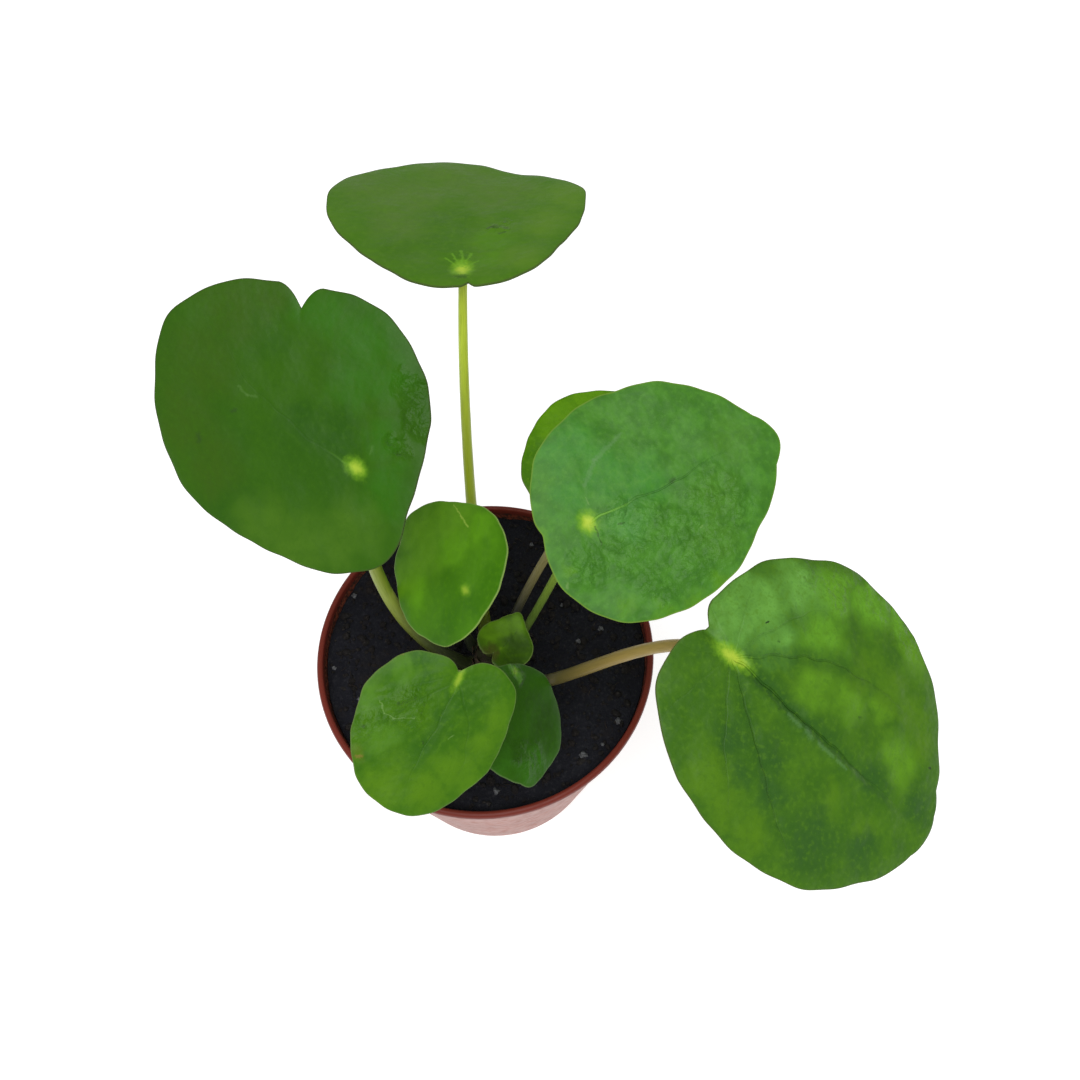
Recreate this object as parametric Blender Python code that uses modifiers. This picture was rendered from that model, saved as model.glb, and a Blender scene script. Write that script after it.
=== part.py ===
# Potted Chinese money plant, Pilea peperomioides, in a 9 cm plastic nursery pot.
# The pot stands on the ground plane with its axis on Z. Front, towards the viewer, is -Y.
import math

import bpy
from mathutils import Vector

MM = 0.001

# Pot, a thin moulded nursery pot, all in mm
POT_HEIGHT = 75.0
RIM_RADIUS = 45.0
BASE_RADIUS = 34.5
POT_WALL = 0.9
LIP_HEIGHT = 2.4
LIP_OVERHANG = 0.8
LIP_EDGE = 0.4
FLOOR_LEVEL = 2.4
FOOT_RISE = 1.5
FOOT_INNER = 31.5
FOOT_SLOPE = 1.0
CENTRE_PAD = 8.0
POT_STEPS = 56
DRAIN_COUNT = 6
DRAIN_RADIUS = 3.0
DRAIN_CIRCLE = 20.0

# Soil fill
SEAT_GAP = 0.3
SOIL_LEVEL = 71.2
SOIL_MOUND = 1.6
SOIL_RINGS = 7
SOIL_STEPS = 42
SOIL_LUMP = 0.35

# Stem, a short trunk in a plain hole in the soil
STEM_X = 1.0
STEM_Y = -5.0
STEM_RADIUS = 4.0
STEM_FOOT = 60.0
STEM_TOP = 81.6
STEM_STEPS = 24

# Leaf blades
BLADE_THICKNESS = 0.9
BLADE_RINGS = (0.28, 0.55, 0.8, 0.94, 1.0)
BLADE_SPOKES = 36
PETIOLE_SIDES = 3
PETIOLE_PARTS = 12
BLADE_END = 1.5

# Every blade: seat of the stalk on the upper face in mm, heading of the tip, tilt of the face and the
# side that it leans towards in degrees, bow along and across in 1/mm, distance from the seat to the
# middle of the blade, reach from the middle to the edge every 20 degrees from the tip, edge features
# as (angle, depth, half width in degrees), and edge wave as (height, count, phase).
BLADES = {
    "top": dict(
        seat=(-0.8, 39.8, 166.9), heading=88, tilt=10, toward=90, bow=(0.0, -0.003), middle=18,
        reach=(27, 29.5, 30.5, 32, 31.5, 28.5, 25.5, 24.2, 25, 24, 23.5, 22.8, 21.5, 22.3, 24.5, 27, 26,
               24.5),
        features=((184, 1.4, 4),), wave=(0.12, 5, 0.6)),
    "left": dict(
        seat=(-19.9, 1.4, 153.1), heading=132, tilt=40, toward=-112, bow=(-0.001, 0.001), middle=14,
        reach=(33.0, 31.7, 30.5, 29.5, 27.5, 26, 27, 29.5, 31, 27.2, 25.5, 26, 26, 26.2, 25.7, 24.7, 26.9,
               30.4),
        features=((305, 4.1, 8),), wave=(0.25, 4, 1.1)),
    "inner": dict(
        seat=(-1.9, -6.1, 118.3), heading=130, tilt=37, toward=-160, bow=(-0.002, 0.001), middle=8,
        reach=(18, 16.5, 16.5, 15.5, 16, 16.5, 17, 18, 17.3, 16.3, 16, 16, 16.5, 16.2, 15.8, 15, 15.5, 17),
        features=(), wave=(0.15, 4, 2.0)),
    "front": dict(
        seat=(-1.9, -27.6, 120.5), heading=-107, tilt=38, toward=-62, bow=(0.001, 0.002), middle=11,
        reach=(18.5, 18.5, 17, 15.5, 15.5, 15.5, 16.5, 18.5, 17.7, 14.6, 14.7, 16.2, 16.4, 16.5, 15.8, 16.2,
               17, 18.2),
        features=((183, 2.1, 14),), wave=(0.3, 6, 0.3)),
    "shaded": dict(
        seat=(8.9, -16.7, 97.8), heading=-82, tilt=38, toward=-8, bow=(0.002, 0.003), middle=10,
        reach=(15, 16.1, 15.1, 14.9, 14, 13.6, 13.4, 13.4, 12.5, 12, 11.5, 11.5, 11.5, 11.5, 12, 12.5, 13.5,
               14.2),
        features=((16, -0.5, 10),), wave=(0.2, 5, 1.7)),
    "young": dict(
        seat=(5.0, -9.0, 93.2), heading=56, tilt=18, toward=-20, bow=(-0.02, -0.02), middle=2,
        reach=(7.2, 7.2, 6.3, 5.8, 6.3, 6.8, 7.2, 6.8, 6.3, 6.3, 6.8, 6.8, 7.2, 7.2, 7.2, 6.8, 6.3, 6.3),
        features=((12, -0.7, 12), (170, 2.4, 16)), wave=(0.08, 3, 0.0), spokes=24, stalk_parts=5),
    "hidden": dict(
        seat=(23.4, 11.9, 126.7), heading=50, tilt=12, toward=-60, bow=(0.0, 0.001), middle=10,
        reach=(20, 21, 21.1, 21.1, 20.8, 19.8, 19.6, 19.6, 18.5, 17.5, 17, 17, 17, 17, 17, 17, 18, 19),
        features=(), wave=(0.2, 5, 0.9)),
    "upper_right": dict(
        seat=(23.7, -5.7, 145.3), heading=27, tilt=27, toward=-75, bow=(0.0, 0.001), middle=13.6,
        reach=(27.2, 25.6, 23.6, 22.6, 21.6, 21.9, 22.6, 23.6, 23.5, 23.3, 24.9, 25.4, 24.7, 23.2, 22.6, 22.3,
               22.6, 25.2),
        features=((2, -1.2, 12), (177, 0.5, 9)), wave=(0.25, 6, 1.4)),
    "lower_right": dict(
        seat=(53.0, -24.9, 125.6), heading=-31, tilt=27, toward=-45, bow=(0.001, 0.002), middle=22,
        reach=(37.5, 35.5, 35.0, 34.6, 34.5, 34.5, 33.2, 33.1, 32.3, 32.8, 35.5, 34, 32.2, 31.3, 32, 33.5,
               35, 37.5),
        features=((176, 3.5, 10), (351, -0.9, 8), (7, 0.7, 7)), wave=(0.3, 6, 2.2)),
}

# Every leaf stalk: foot beside the stem, two guide points of the curve, in mm, and the radius at
# the foot and under the blade. The curve ends square to the blade just under the seat.
PETIOLES = {
    "top": ((0.5, 0.3, 76.5), (-3.2, 18.8, 98.0), (-3.0, 34.7, 138.1), 1.75, 0.9),
    "left": ((-4.6, -5.8, 75.0), (-26.2, -4.7, 95.2), (-25.3, 6.1, 131.2), 1.8, 1.4),
    "inner": ((-3.2, -1.8, 78.5), (-6.5, -0.5, 90.0), (-3.0, -5.5, 106.0), 1.3, 0.9),
    "front": ((-1.3, -9.9, 77.0), (-5.2, -18.2, 87.4), (-4.1, -21.4, 107.3), 1.4, 1.0),
    "shaded": ((2.6, -9.9, 78.0), (3.9, -13.9, 82.7), (5.8, -15.8, 91.4), 1.1, 0.8),
    "young": ((2.2, -5.5, 82.3), (3.0, -6.4, 85.5), (4.4, -8.2, 89.0), 0.8, 0.6),
    "hidden": ((4.4, -0.5, 75.0), (9.9, 9.9, 88.1), (19.8, 13.8, 109.8), 1.25, 1.0),
    "upper_right": ((5.8, -3.6, 76.0), (14.8, 2.0, 92.1), (20.4, 1.4, 122.6), 1.1, 0.85),
    "lower_right": ((5.8, -7.8, 74.5), (13.8, -23.4, 86.5), (40.1, -7.8, 111.2), 1.7, 1.3),
}

for old in list(bpy.data.objects):
    bpy.data.objects.remove(old, do_unlink=True)

plant = bpy.data.collections.new("potted_chinese_money_plant")
bpy.context.scene.collection.children.link(plant)
cutters = bpy.data.collections.new("cutters")
bpy.context.scene.collection.children.link(cutters)


def material(name, colour, roughness, metallic=0.0):
    mat = bpy.data.materials.new(name)
    mat.use_nodes = True
    shader = mat.node_tree.nodes["Principled BSDF"]
    shader.inputs["Base Color"].default_value = (*colour, 1.0)
    shader.inputs["Roughness"].default_value = roughness
    shader.inputs["Metallic"].default_value = metallic
    return mat


def mesh_object(name, points, edges, faces, mat, collection=plant):
    mesh = bpy.data.meshes.new(name)
    mesh.from_pydata([tuple(c * MM for c in p) for p in points], edges, faces)
    mesh.update()
    obj = bpy.data.objects.new(name, mesh)
    collection.objects.link(obj)
    if mat:
        mesh.materials.append(mat)
    return obj


def replace_mesh(obj, mat):
    """Swap the object for its evaluated mesh with coincident points merged."""
    bpy.context.view_layer.update()
    depsgraph = bpy.context.evaluated_depsgraph_get()
    mesh = bpy.data.meshes.new_from_object(obj.evaluated_get(depsgraph))
    mesh.transform(obj.matrix_world)
    name = obj.name
    collection = obj.users_collection[0]
    bpy.data.objects.remove(obj, do_unlink=True)
    new = bpy.data.objects.new(name, mesh)
    collection.objects.link(new)
    mesh.materials.clear()
    mesh.materials.append(mat)
    select_only(new)
    bpy.ops.object.mode_set(mode="EDIT")
    bpy.ops.mesh.select_all(action="SELECT")
    bpy.ops.mesh.remove_doubles(threshold=0.00001)
    bpy.ops.mesh.normals_make_consistent(inside=False)
    bpy.ops.object.mode_set(mode="OBJECT")
    return new


def select_only(obj):
    bpy.ops.object.select_all(action="DESELECT")
    obj.select_set(True)
    bpy.context.view_layer.objects.active = obj


def turned(name, profile, steps, mat):
    """Turn a profile of (radius, height) in mm about Z."""
    points = [(r, 0.0, z) for r, z in profile]
    edges = [(i, i + 1) for i in range(len(points) - 1)]
    obj = mesh_object(name, points, edges, [], mat)
    screw = obj.modifiers.new("turn", "SCREW")
    screw.steps = steps
    screw.render_steps = steps
    screw.use_merge_vertices = True
    screw.merge_threshold = 0.00005
    screw.use_smooth_shade = True
    return obj


def smooth(obj, angle):
    mesh = obj.data
    mesh.shade_smooth()
    mesh.set_sharp_from_angle(angle=math.radians(angle))


# Pot: outer wall and rolled lip, inner wall, floor, and a ring foot with a flat centre pad
pot_mat = material("terracotta_plastic", (0.30, 0.07, 0.045), 0.25)
lip_foot = POT_HEIGHT - LIP_HEIGHT
body_top = RIM_RADIUS - LIP_OVERHANG
foot_edge = 0.4
pot_profile = [
    (0.0, 0.0),
    (CENTRE_PAD, 0.0),
    (CENTRE_PAD + FOOT_SLOPE, FOOT_RISE),
    (FOOT_INNER - FOOT_SLOPE, FOOT_RISE),
    (FOOT_INNER, 0.0),
    (BASE_RADIUS - foot_edge, 0.0),
    (BASE_RADIUS, foot_edge),
    (body_top, lip_foot),
    (RIM_RADIUS - LIP_EDGE, lip_foot),
    (RIM_RADIUS, lip_foot + LIP_EDGE),
    (RIM_RADIUS, POT_HEIGHT - LIP_EDGE),
    (RIM_RADIUS - LIP_EDGE, POT_HEIGHT),
    (body_top - POT_WALL + LIP_EDGE, POT_HEIGHT),
    (body_top - POT_WALL, POT_HEIGHT - LIP_EDGE),
    (body_top - POT_WALL, lip_foot),
    (BASE_RADIUS - POT_WALL, FLOOR_LEVEL),
    (0.0, FLOOR_LEVEL),
]
pot = turned("pot", pot_profile, POT_STEPS, pot_mat)
pot = replace_mesh(pot, pot_mat)
for i in range(DRAIN_COUNT):
    turn = math.radians(360.0 / DRAIN_COUNT * i)
    bpy.ops.mesh.primitive_cylinder_add(
        vertices=20, radius=DRAIN_RADIUS * MM, depth=8.0 * MM,
        location=(DRAIN_CIRCLE * MM * math.cos(turn), DRAIN_CIRCLE * MM * math.sin(turn), 0.0))
    drill = bpy.context.object
    drill.name = "drain_cutter_%d" % i
    for owner in list(drill.users_collection):
        owner.objects.unlink(drill)
    cutters.objects.link(drill)
    drill.hide_render = True
    drill.display_type = "WIRE"
    cut = pot.modifiers.new("drain_%d" % i, "BOOLEAN")
    cut.operation = "DIFFERENCE"
    cut.object = drill
pot = replace_mesh(pot, pot_mat)
smooth(pot, 35)

# Soil: a lumpy filling that follows the inner wall, with a plain hole for the stem
soil_mat = material("potting_soil", (0.018, 0.015, 0.013), 0.95)


def wall_radius(z):
    """Inner wall radius of the pot at height z."""
    share = (z - FLOOR_LEVEL) / (lip_foot - FLOOR_LEVEL)
    low = BASE_RADIUS - POT_WALL
    return low + (body_top - POT_WALL - low) * share


def soil_height(x, y):
    r = math.hypot(x, y) / RIM_RADIUS
    lump = math.sin(0.31 * x + 1.3) * math.sin(0.27 * y + 0.4)
    lump += 0.6 * math.sin(0.55 * x - 0.41 * y) + 0.5 * math.sin(0.23 * x + 0.62 * y + 2.0)
    return SOIL_LEVEL + SOIL_MOUND * (1.0 - r * r) + SOIL_LUMP * lump


soil_bottom = FLOOR_LEVEL + SEAT_GAP
points = [(0.0, 0.0, soil_height(0.0, 0.0))]
faces = []
for ring in range(1, SOIL_RINGS + 1):
    for j in range(SOIL_STEPS):
        a = 2.0 * math.pi * j / SOIL_STEPS
        radius = (wall_radius(SOIL_LEVEL) - SEAT_GAP) * ring / SOIL_RINGS
        x = radius * math.cos(a)
        y = radius * math.sin(a)
        z = SOIL_LEVEL if ring == SOIL_RINGS else soil_height(x, y)
        points.append((x, y, z))
for j in range(SOIL_STEPS):
    a = 2.0 * math.pi * j / SOIL_STEPS
    radius = wall_radius(soil_bottom) - SEAT_GAP
    points.append((radius * math.cos(a), radius * math.sin(a), soil_bottom))
points.append((0.0, 0.0, soil_bottom))
bottom_point = len(points) - 1
for j in range(SOIL_STEPS):
    k = (j + 1) % SOIL_STEPS
    faces.append((0, 1 + j, 1 + k))
    for ring in range(SOIL_RINGS - 1):
        a = 1 + ring * SOIL_STEPS
        b = a + SOIL_STEPS
        faces.append((a + j, b + j, b + k))
        faces.append((a + j, b + k, a + k))
    a = 1 + (SOIL_RINGS - 1) * SOIL_STEPS
    b = a + SOIL_STEPS
    faces.append((a + j, b + j, b + k, a + k))
    faces.append((b + j, bottom_point, b + k))
soil = mesh_object("soil", points, [], faces, soil_mat)
bpy.ops.mesh.primitive_cylinder_add(
    vertices=STEM_STEPS, radius=(STEM_RADIUS + SEAT_GAP) * MM, depth=30.0 * MM,
    location=(STEM_X * MM, STEM_Y * MM, (STEM_FOOT - SEAT_GAP + 15.0) * MM))
socket = bpy.context.object
socket.name = "stem_cutter"
for owner in list(socket.users_collection):
    owner.objects.unlink(socket)
cutters.objects.link(socket)
socket.hide_render = True
socket.display_type = "WIRE"
cut = soil.modifiers.new("stem_hole", "BOOLEAN")
cut.operation = "DIFFERENCE"
cut.object = socket
soil = replace_mesh(soil, soil_mat)
smooth(soil, 50)

# Stem: short corky trunk, its growing tip rounded over
stem_mat = material("corky_stem", (0.09, 0.055, 0.03), 0.8)
stem_profile = [
    (0.0, STEM_FOOT),
    (STEM_RADIUS, STEM_FOOT),
    (STEM_RADIUS, 72.0),
    (STEM_RADIUS - 0.1, 76.0),
    (STEM_RADIUS - 0.5, 79.0),
    (STEM_RADIUS - 1.3, 80.8),
    (1.4, STEM_TOP - 0.1),
    (0.0, STEM_TOP),
]
stem = turned("stem", stem_profile, STEM_STEPS, stem_mat)
stem.location = (STEM_X * MM, STEM_Y * MM, 0.0)
stem = replace_mesh(stem, stem_mat)
smooth(stem, 50)

# Leaves: each a blade on its own stalk
blade_mat = material("leaf_green", (0.06, 0.19, 0.022), 0.45)
petiole_mat = material("leaf_stalk", (0.22, 0.27, 0.06), 0.5)


def blade_frame(spec):
    tilt = math.radians(spec["tilt"])
    lean = math.radians(spec["toward"])
    normal = Vector((math.sin(tilt) * math.cos(lean), math.sin(tilt) * math.sin(lean), math.cos(tilt)))
    head = Vector((math.cos(math.radians(spec["heading"])), math.sin(math.radians(spec["heading"])), 0.0))
    ahead = (head - normal * head.dot(normal)).normalized()
    return normal, ahead, normal.cross(ahead)


def reach_at(spec, degrees):
    """Outline reach at an angle, smooth through the listed reaches, with the edge features."""
    listed = spec["reach"]
    count = len(listed)
    place = (degrees % 360.0) / (360.0 / count)
    i = int(place)
    f = place - i
    r0, r1, r2, r3 = (listed[(i + k) % count] for k in (-1, 0, 1, 2))
    reach = r1 + 0.5 * f * (r2 - r0 + f * (2 * r0 - 5 * r1 + 4 * r2 - r3 + f * (3 * (r1 - r2) + r3 - r0)))
    for angle, depth, half in spec["features"]:
        off = abs((degrees - angle + 180.0) % 360.0 - 180.0) / half
        if off < 1.0:
            reach -= depth * (1.0 - off) ** 1.5 if depth > 0 else depth * (1.0 - off * off)
    return reach


def blade_angles(spec):
    """Even spokes, with extra ones where the edge has a notch or a point."""
    spokes = spec.get("spokes", BLADE_SPOKES)
    angles = {360.0 * j / spokes for j in range(spokes)}
    for angle, depth, half in spec["features"]:
        angles = {a for a in angles if abs((a - angle + 180.0) % 360.0 - 180.0) > half * 0.9}
        angles |= {(angle + half * s) % 360.0 for s in (-1.0, -0.45, 0.0, 0.45, 1.0)}
    return sorted(angles)


def blade_point(spec, degrees, share):
    a = math.radians(degrees)
    reach = reach_at(spec, degrees) * share
    x = spec["middle"] + reach * math.cos(a)
    y = reach * math.sin(a)
    height, count, phase = spec["wave"]
    along, across = spec["bow"]
    z = -along * x * x - across * y * y + height * share ** 3 * math.sin(count * a + phase)
    normal, ahead, side = blade_frame(spec)
    return Vector(spec["seat"]) + ahead * x + side * y + normal * z


def build_blade(name, spec):
    angles = blade_angles(spec)
    count = len(angles)
    points = [blade_point(spec, 0.0, 0.0)]
    for share in BLADE_RINGS:
        points += [blade_point(spec, a, share) for a in angles]
    faces = []
    for j in range(count):
        k = (j + 1) % count
        faces.append((0, 1 + j, 1 + k))
        for ring in range(len(BLADE_RINGS) - 1):
            a = 1 + ring * count
            b = a + count
            faces.append((a + j, b + j, b + k))
            faces.append((a + j, b + k, a + k))
    obj = mesh_object("blade_" + name, points, [], faces, blade_mat)
    shell = obj.modifiers.new("thickness", "SOLIDIFY")
    shell.thickness = BLADE_THICKNESS * MM
    shell.offset = -1.0
    split = obj.modifiers.new("split", "TRIANGULATE")
    split.quad_method = "FIXED"
    obj = replace_mesh(obj, blade_mat)
    smooth(obj, 50)
    return obj


def build_petiole(name, spec, curve_spec):
    foot, guide_a, guide_b, foot_radius, head_radius = curve_spec
    normal = blade_frame(spec)[0]
    head = Vector(spec["seat"]) - normal * (BLADE_THICKNESS + SEAT_GAP)
    square = head - normal * min(BLADE_END, (head - Vector(foot)).length * 0.2)
    guides = [Vector(foot), Vector(guide_a), Vector(guide_b), square]
    parts = spec.get("stalk_parts", PETIOLE_PARTS)
    line = []
    for i in range(parts + 1):
        t = i / parts
        u = 1.0 - t
        at = guides[0] * u ** 3 + guides[1] * 3 * u * u * t + guides[2] * 3 * u * t * t + guides[3] * t ** 3
        line.append((at, foot_radius + (head_radius - foot_radius) * t ** 0.7))
    line.append((head, head_radius))
    curve = bpy.data.curves.new("petiole_" + name, "CURVE")
    curve.dimensions = "3D"
    curve.bevel_depth = MM
    curve.bevel_resolution = PETIOLE_SIDES
    curve.use_fill_caps = True
    spline = curve.splines.new("POLY")
    spline.points.add(len(line) - 1)
    for point, (at, radius) in zip(spline.points, line):
        point.co = (*(at * MM), 1.0)
        point.radius = radius
    obj = bpy.data.objects.new("petiole_" + name, curve)
    plant.objects.link(obj)
    obj = replace_mesh(obj, petiole_mat)
    smooth(obj, 60)
    return obj


for leaf, leaf_spec in BLADES.items():
    build_petiole(leaf, leaf_spec, PETIOLES[leaf])
    build_blade(leaf, leaf_spec)
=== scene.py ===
import bpy
import math
import random
import numpy as np
from mathutils import Matrix, Vector, noise


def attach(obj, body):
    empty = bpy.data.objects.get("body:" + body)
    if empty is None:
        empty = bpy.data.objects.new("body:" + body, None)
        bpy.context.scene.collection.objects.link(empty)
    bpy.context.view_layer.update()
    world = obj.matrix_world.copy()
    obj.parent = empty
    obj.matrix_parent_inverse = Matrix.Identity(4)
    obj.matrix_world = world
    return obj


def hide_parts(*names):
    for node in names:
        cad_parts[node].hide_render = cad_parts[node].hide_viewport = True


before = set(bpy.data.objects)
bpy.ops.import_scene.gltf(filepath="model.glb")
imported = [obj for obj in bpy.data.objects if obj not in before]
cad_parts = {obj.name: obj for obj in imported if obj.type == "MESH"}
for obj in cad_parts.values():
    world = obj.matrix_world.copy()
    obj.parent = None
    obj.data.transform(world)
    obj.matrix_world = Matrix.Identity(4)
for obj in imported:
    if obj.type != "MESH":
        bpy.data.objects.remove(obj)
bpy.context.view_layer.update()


# The pot: a thin grow pot injection-moulded in satin terracotta-coloured plastic, one wall with a
# darker, rounded lip, and six drain holes through a floor that stands on a foot ring.
MM = 0.001
POT_SIDES = 168
POT_PROFILE = ((8.0, 0.0), (9.0, 1.5), (30.5, 1.5), (31.5, 0.0), (34.1, 0.0), (34.5, 0.4),
               (36.95, 18.7), (39.35, 36.5), (41.78, 54.5), (44.2, 72.6), (44.6, 72.6), (45.0, 73.0),
               (45.0, 74.1), (44.75, 74.7), (44.2, 75.0), (43.8, 75.0), (43.4, 74.7), (43.3, 74.3),
               (43.3, 72.6), (38.45, 37.5), (33.6, 2.4), (8.0, 2.4))
LIP_ROUNDING = 0.20
LIP_FOOT = 72.3
WALL_SLOPE = 0.136
INNER_FOOT = 33.7
HOLE_RADIUS = 3.0
HOLE_CIRCLE = 20.0
HOLES = 6
HOLE_SIDES = 32
PUNCH_LENGTH = 10.0
PUNCH_HEIGHT = 2.0
TERRACOTTA = (0.24, 0.054, 0.029, 1)
TERRACOTTA_LIT = (0.30, 0.074, 0.041, 1)
TERRACOTTA_FLOW = (0.42, 0.11, 0.07, 1)
LIP_RED = (0.155, 0.025, 0.016, 1)
SOIL_DUST = (0.030, 0.018, 0.014, 1)


def start_piece():
    if bpy.context.object and bpy.context.object.mode != "OBJECT":
        bpy.ops.object.mode_set(mode="OBJECT")
    bpy.ops.object.select_all(action="DESELECT")


def pick(piece):
    start_piece()
    piece.select_set(True)
    bpy.context.view_layer.objects.active = piece


def finish_with(piece, kind, **settings):
    """Adds one modifier and applies it."""
    pick(piece)
    step = piece.modifiers.new(kind.lower(), kind)
    for setting, value in settings.items():
        setattr(step, setting, value)
    bpy.ops.object.modifier_apply(modifier=step.name)


def turn_profile(name, profile, sides, centre=(0.0, 0.0)):
    """Draws a ring out along a profile of (radius, height) in mm and closes both ends."""
    start_piece()
    x, y = centre[0] * MM, centre[1] * MM
    radius, height = profile[0]
    bpy.ops.mesh.primitive_circle_add(vertices=sides, radius=radius * MM, fill_type="NOTHING",
                                      location=(x, y, height * MM))
    piece = bpy.context.object
    piece.name = name
    bpy.ops.object.transform_apply()
    bpy.ops.object.mode_set(mode="EDIT")
    bpy.ops.mesh.select_all(action="SELECT")
    for new_radius, new_height in profile[1:]:
        rise = (new_height - height) * MM
        bpy.ops.mesh.extrude_region_move(TRANSFORM_OT_translate={"value": (0, 0, rise)})
        grow = new_radius / radius
        bpy.ops.transform.resize(value=(grow, grow, 1), center_override=(x, y, new_height * MM))
        radius, height = new_radius, new_height
    bpy.ops.mesh.select_mode(type="EDGE")
    for low_end in (True, False):
        end_radius, end_height = profile[0] if low_end else profile[-1]
        pick_ring(piece, centre, end_radius, end_height)
        bpy.ops.mesh.edge_face_add()
    bpy.ops.mesh.select_all(action="SELECT")
    bpy.ops.mesh.normals_make_consistent(inside=False)
    bpy.ops.object.mode_set(mode="OBJECT")
    return piece


def pick_ring(piece, centre, radius, height):
    """Selects, in edit mode, the ring of edges at one radius and height in mm."""
    bpy.ops.mesh.select_all(action="DESELECT")
    bpy.ops.object.mode_set(mode="OBJECT")
    verts = piece.data.vertices

    def on_ring(index):
        at = verts[index].co / MM
        across = math.hypot(at.x - centre[0], at.y - centre[1])
        return abs(across - radius) < 0.02 and abs(at.z - height) < 0.02

    for edge in piece.data.edges:
        edge.select = on_ring(edge.vertices[0]) and on_ring(edge.vertices[1])
    bpy.ops.object.mode_set(mode="EDIT")


def wire(tree, kind, inputs=None, **settings):
    """Adds a shader node, sets it up, and fills or links its inputs."""
    node = tree.nodes.new("ShaderNode" + kind)
    for setting, value in settings.items():
        setattr(node, setting, value)
    for key, value in (inputs or {}).items():
        if isinstance(value, bpy.types.NodeSocket):
            tree.links.new(value, node.inputs[key])
        else:
            node.inputs[key].default_value = value
    return node


def calc(tree, operation, *values):
    return wire(tree, "Math", dict(enumerate(values)), operation=operation).outputs[0]


def times(tree, a, b):
    return calc(tree, "MULTIPLY", a, b)


def step_between(tree, value, low, high, start=0.0, end=1.0):
    """A soft step: start below low, end above high."""
    return wire(tree, "MapRange", {0: value, 1: low, 2: high, 3: start, 4: end},
                interpolation_type="SMOOTHSTEP").outputs[0]


def tint(tree, share, under, over):
    return wire(tree, "Mix", {0: share, 6: under, 7: over}, data_type="RGBA").outputs[2]


def speckle(tree, place, scale, detail=3.0, rough=0.55):
    return wire(tree, "TexNoise", {"Vector": place, "Scale": scale, "Detail": detail,
                                   "Roughness": rough}).outputs["Fac"]


def stretched(tree, own, x, y, z):
    """Own coordinates drawn out to a different pattern size each way."""
    return wire(tree, "Mapping", {0: own, 3: (x, y, z)}).outputs[0]


def new_skin(name, specular, roughness=0.5):
    """A Principled material; returns it with its tree, its shader and the piece's own coordinates."""
    skin = bpy.data.materials.new(name)
    skin.use_nodes = True
    tree = skin.node_tree
    shader = tree.nodes["Principled BSDF"]
    shader.inputs["Specular IOR Level"].default_value = specular
    shader.inputs["Roughness"].default_value = roughness
    return skin, tree, shader, wire(tree, "TexCoord").outputs["Object"]


def lay_on(tree, shader, colour, roughness=None):
    """Links the colour, and the roughness where it varies, to the shader."""
    tree.links.new(colour, shader.inputs["Base Color"])
    if roughness is not None:
        tree.links.new(roughness, shader.inputs["Roughness"])


def emboss(tree, shader, height, depth, strength=1.0):
    relief = wire(tree, "Bump", {"Height": height, "Distance": depth * MM, "Strength": strength})
    tree.links.new(relief.outputs[0], shader.inputs["Normal"])


def clad(piece, *skins):
    piece.data.materials.clear()
    for skin in skins:
        piece.data.materials.append(skin)


def hand_over(piece, slot, *nodes):
    """Puts a finished piece on the object's one body and hides the parts of the model it replaces."""
    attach(piece, "root")
    if nodes:
        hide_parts(*nodes)


pot = turn_profile("grow_pot", POT_PROFILE, POT_SIDES)
finish_with(pot, "BEVEL", width=LIP_ROUNDING * MM, segments=3, limit_method="ANGLE",
            angle_limit=math.radians(30))
for hole in range(HOLES):
    turn = 2 * math.pi * hole / HOLES
    start_piece()
    place = Vector((HOLE_CIRCLE * math.cos(turn), HOLE_CIRCLE * math.sin(turn), PUNCH_HEIGHT)) * MM
    bpy.ops.mesh.primitive_cylinder_add(vertices=HOLE_SIDES, radius=HOLE_RADIUS * MM,
                                        depth=PUNCH_LENGTH * MM, location=place)
    punch = bpy.context.object
    finish_with(pot, "BOOLEAN", object=punch, operation="DIFFERENCE", solver="EXACT")
    bpy.data.objects.remove(punch)
pick(pot)
bpy.ops.object.shade_smooth_by_angle(angle=math.radians(35))

skin, tree, shader, own = new_skin("terracotta_plastic", 0.15)
x, y, height = wire(tree, "SeparateXYZ", {0: own}).outputs
across = calc(tree, "SQRT", calc(tree, "ADD", times(tree, x, x), times(tree, y, y)))
cloud = speckle(tree, own, 60.0, 4.0)
flow = speckle(tree, stretched(tree, own, 90.0, 90.0, 9.0), 1.0, 3.0)
colour = tint(tree, step_between(tree, cloud, 0.35, 0.7), TERRACOTTA, TERRACOTTA_LIT)
colour = tint(tree, step_between(tree, flow, 0.45, 0.75, 0.0, 0.16), colour, TERRACOTTA_FLOW)
colour = tint(tree, step_between(tree, height, LIP_FOOT * MM, (LIP_FOOT + 0.4) * MM), colour, LIP_RED)
inside = step_between(tree, calc(tree, "SUBTRACT", across, times(tree, height, WALL_SLOPE)),
                      (INNER_FOOT + 0.2) * MM, INNER_FOOT * MM)
low = step_between(tree, height, (LIP_FOOT + 0.1) * MM, (LIP_FOOT + 1.6) * MM, 1.0, 0.0)
dust = times(tree, times(tree, inside, low),
             step_between(tree, speckle(tree, own, 900.0, 5.0, 0.7), 0.38, 0.62, 0.15, 0.95))
scuffs = step_between(tree, speckle(tree, own, 420.0, 4.0), 0.4, 0.75, 0.32, 0.46)
lay_on(tree, shader, tint(tree, dust, colour, SOIL_DUST), calc(tree, "ADD", scuffs, times(tree, dust, 0.5)))
emboss(tree, shader, speckle(tree, own, 700.0, 2.0), 0.02)
clad(pot, skin)
hand_over(pot, "pot", "pot")


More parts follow.
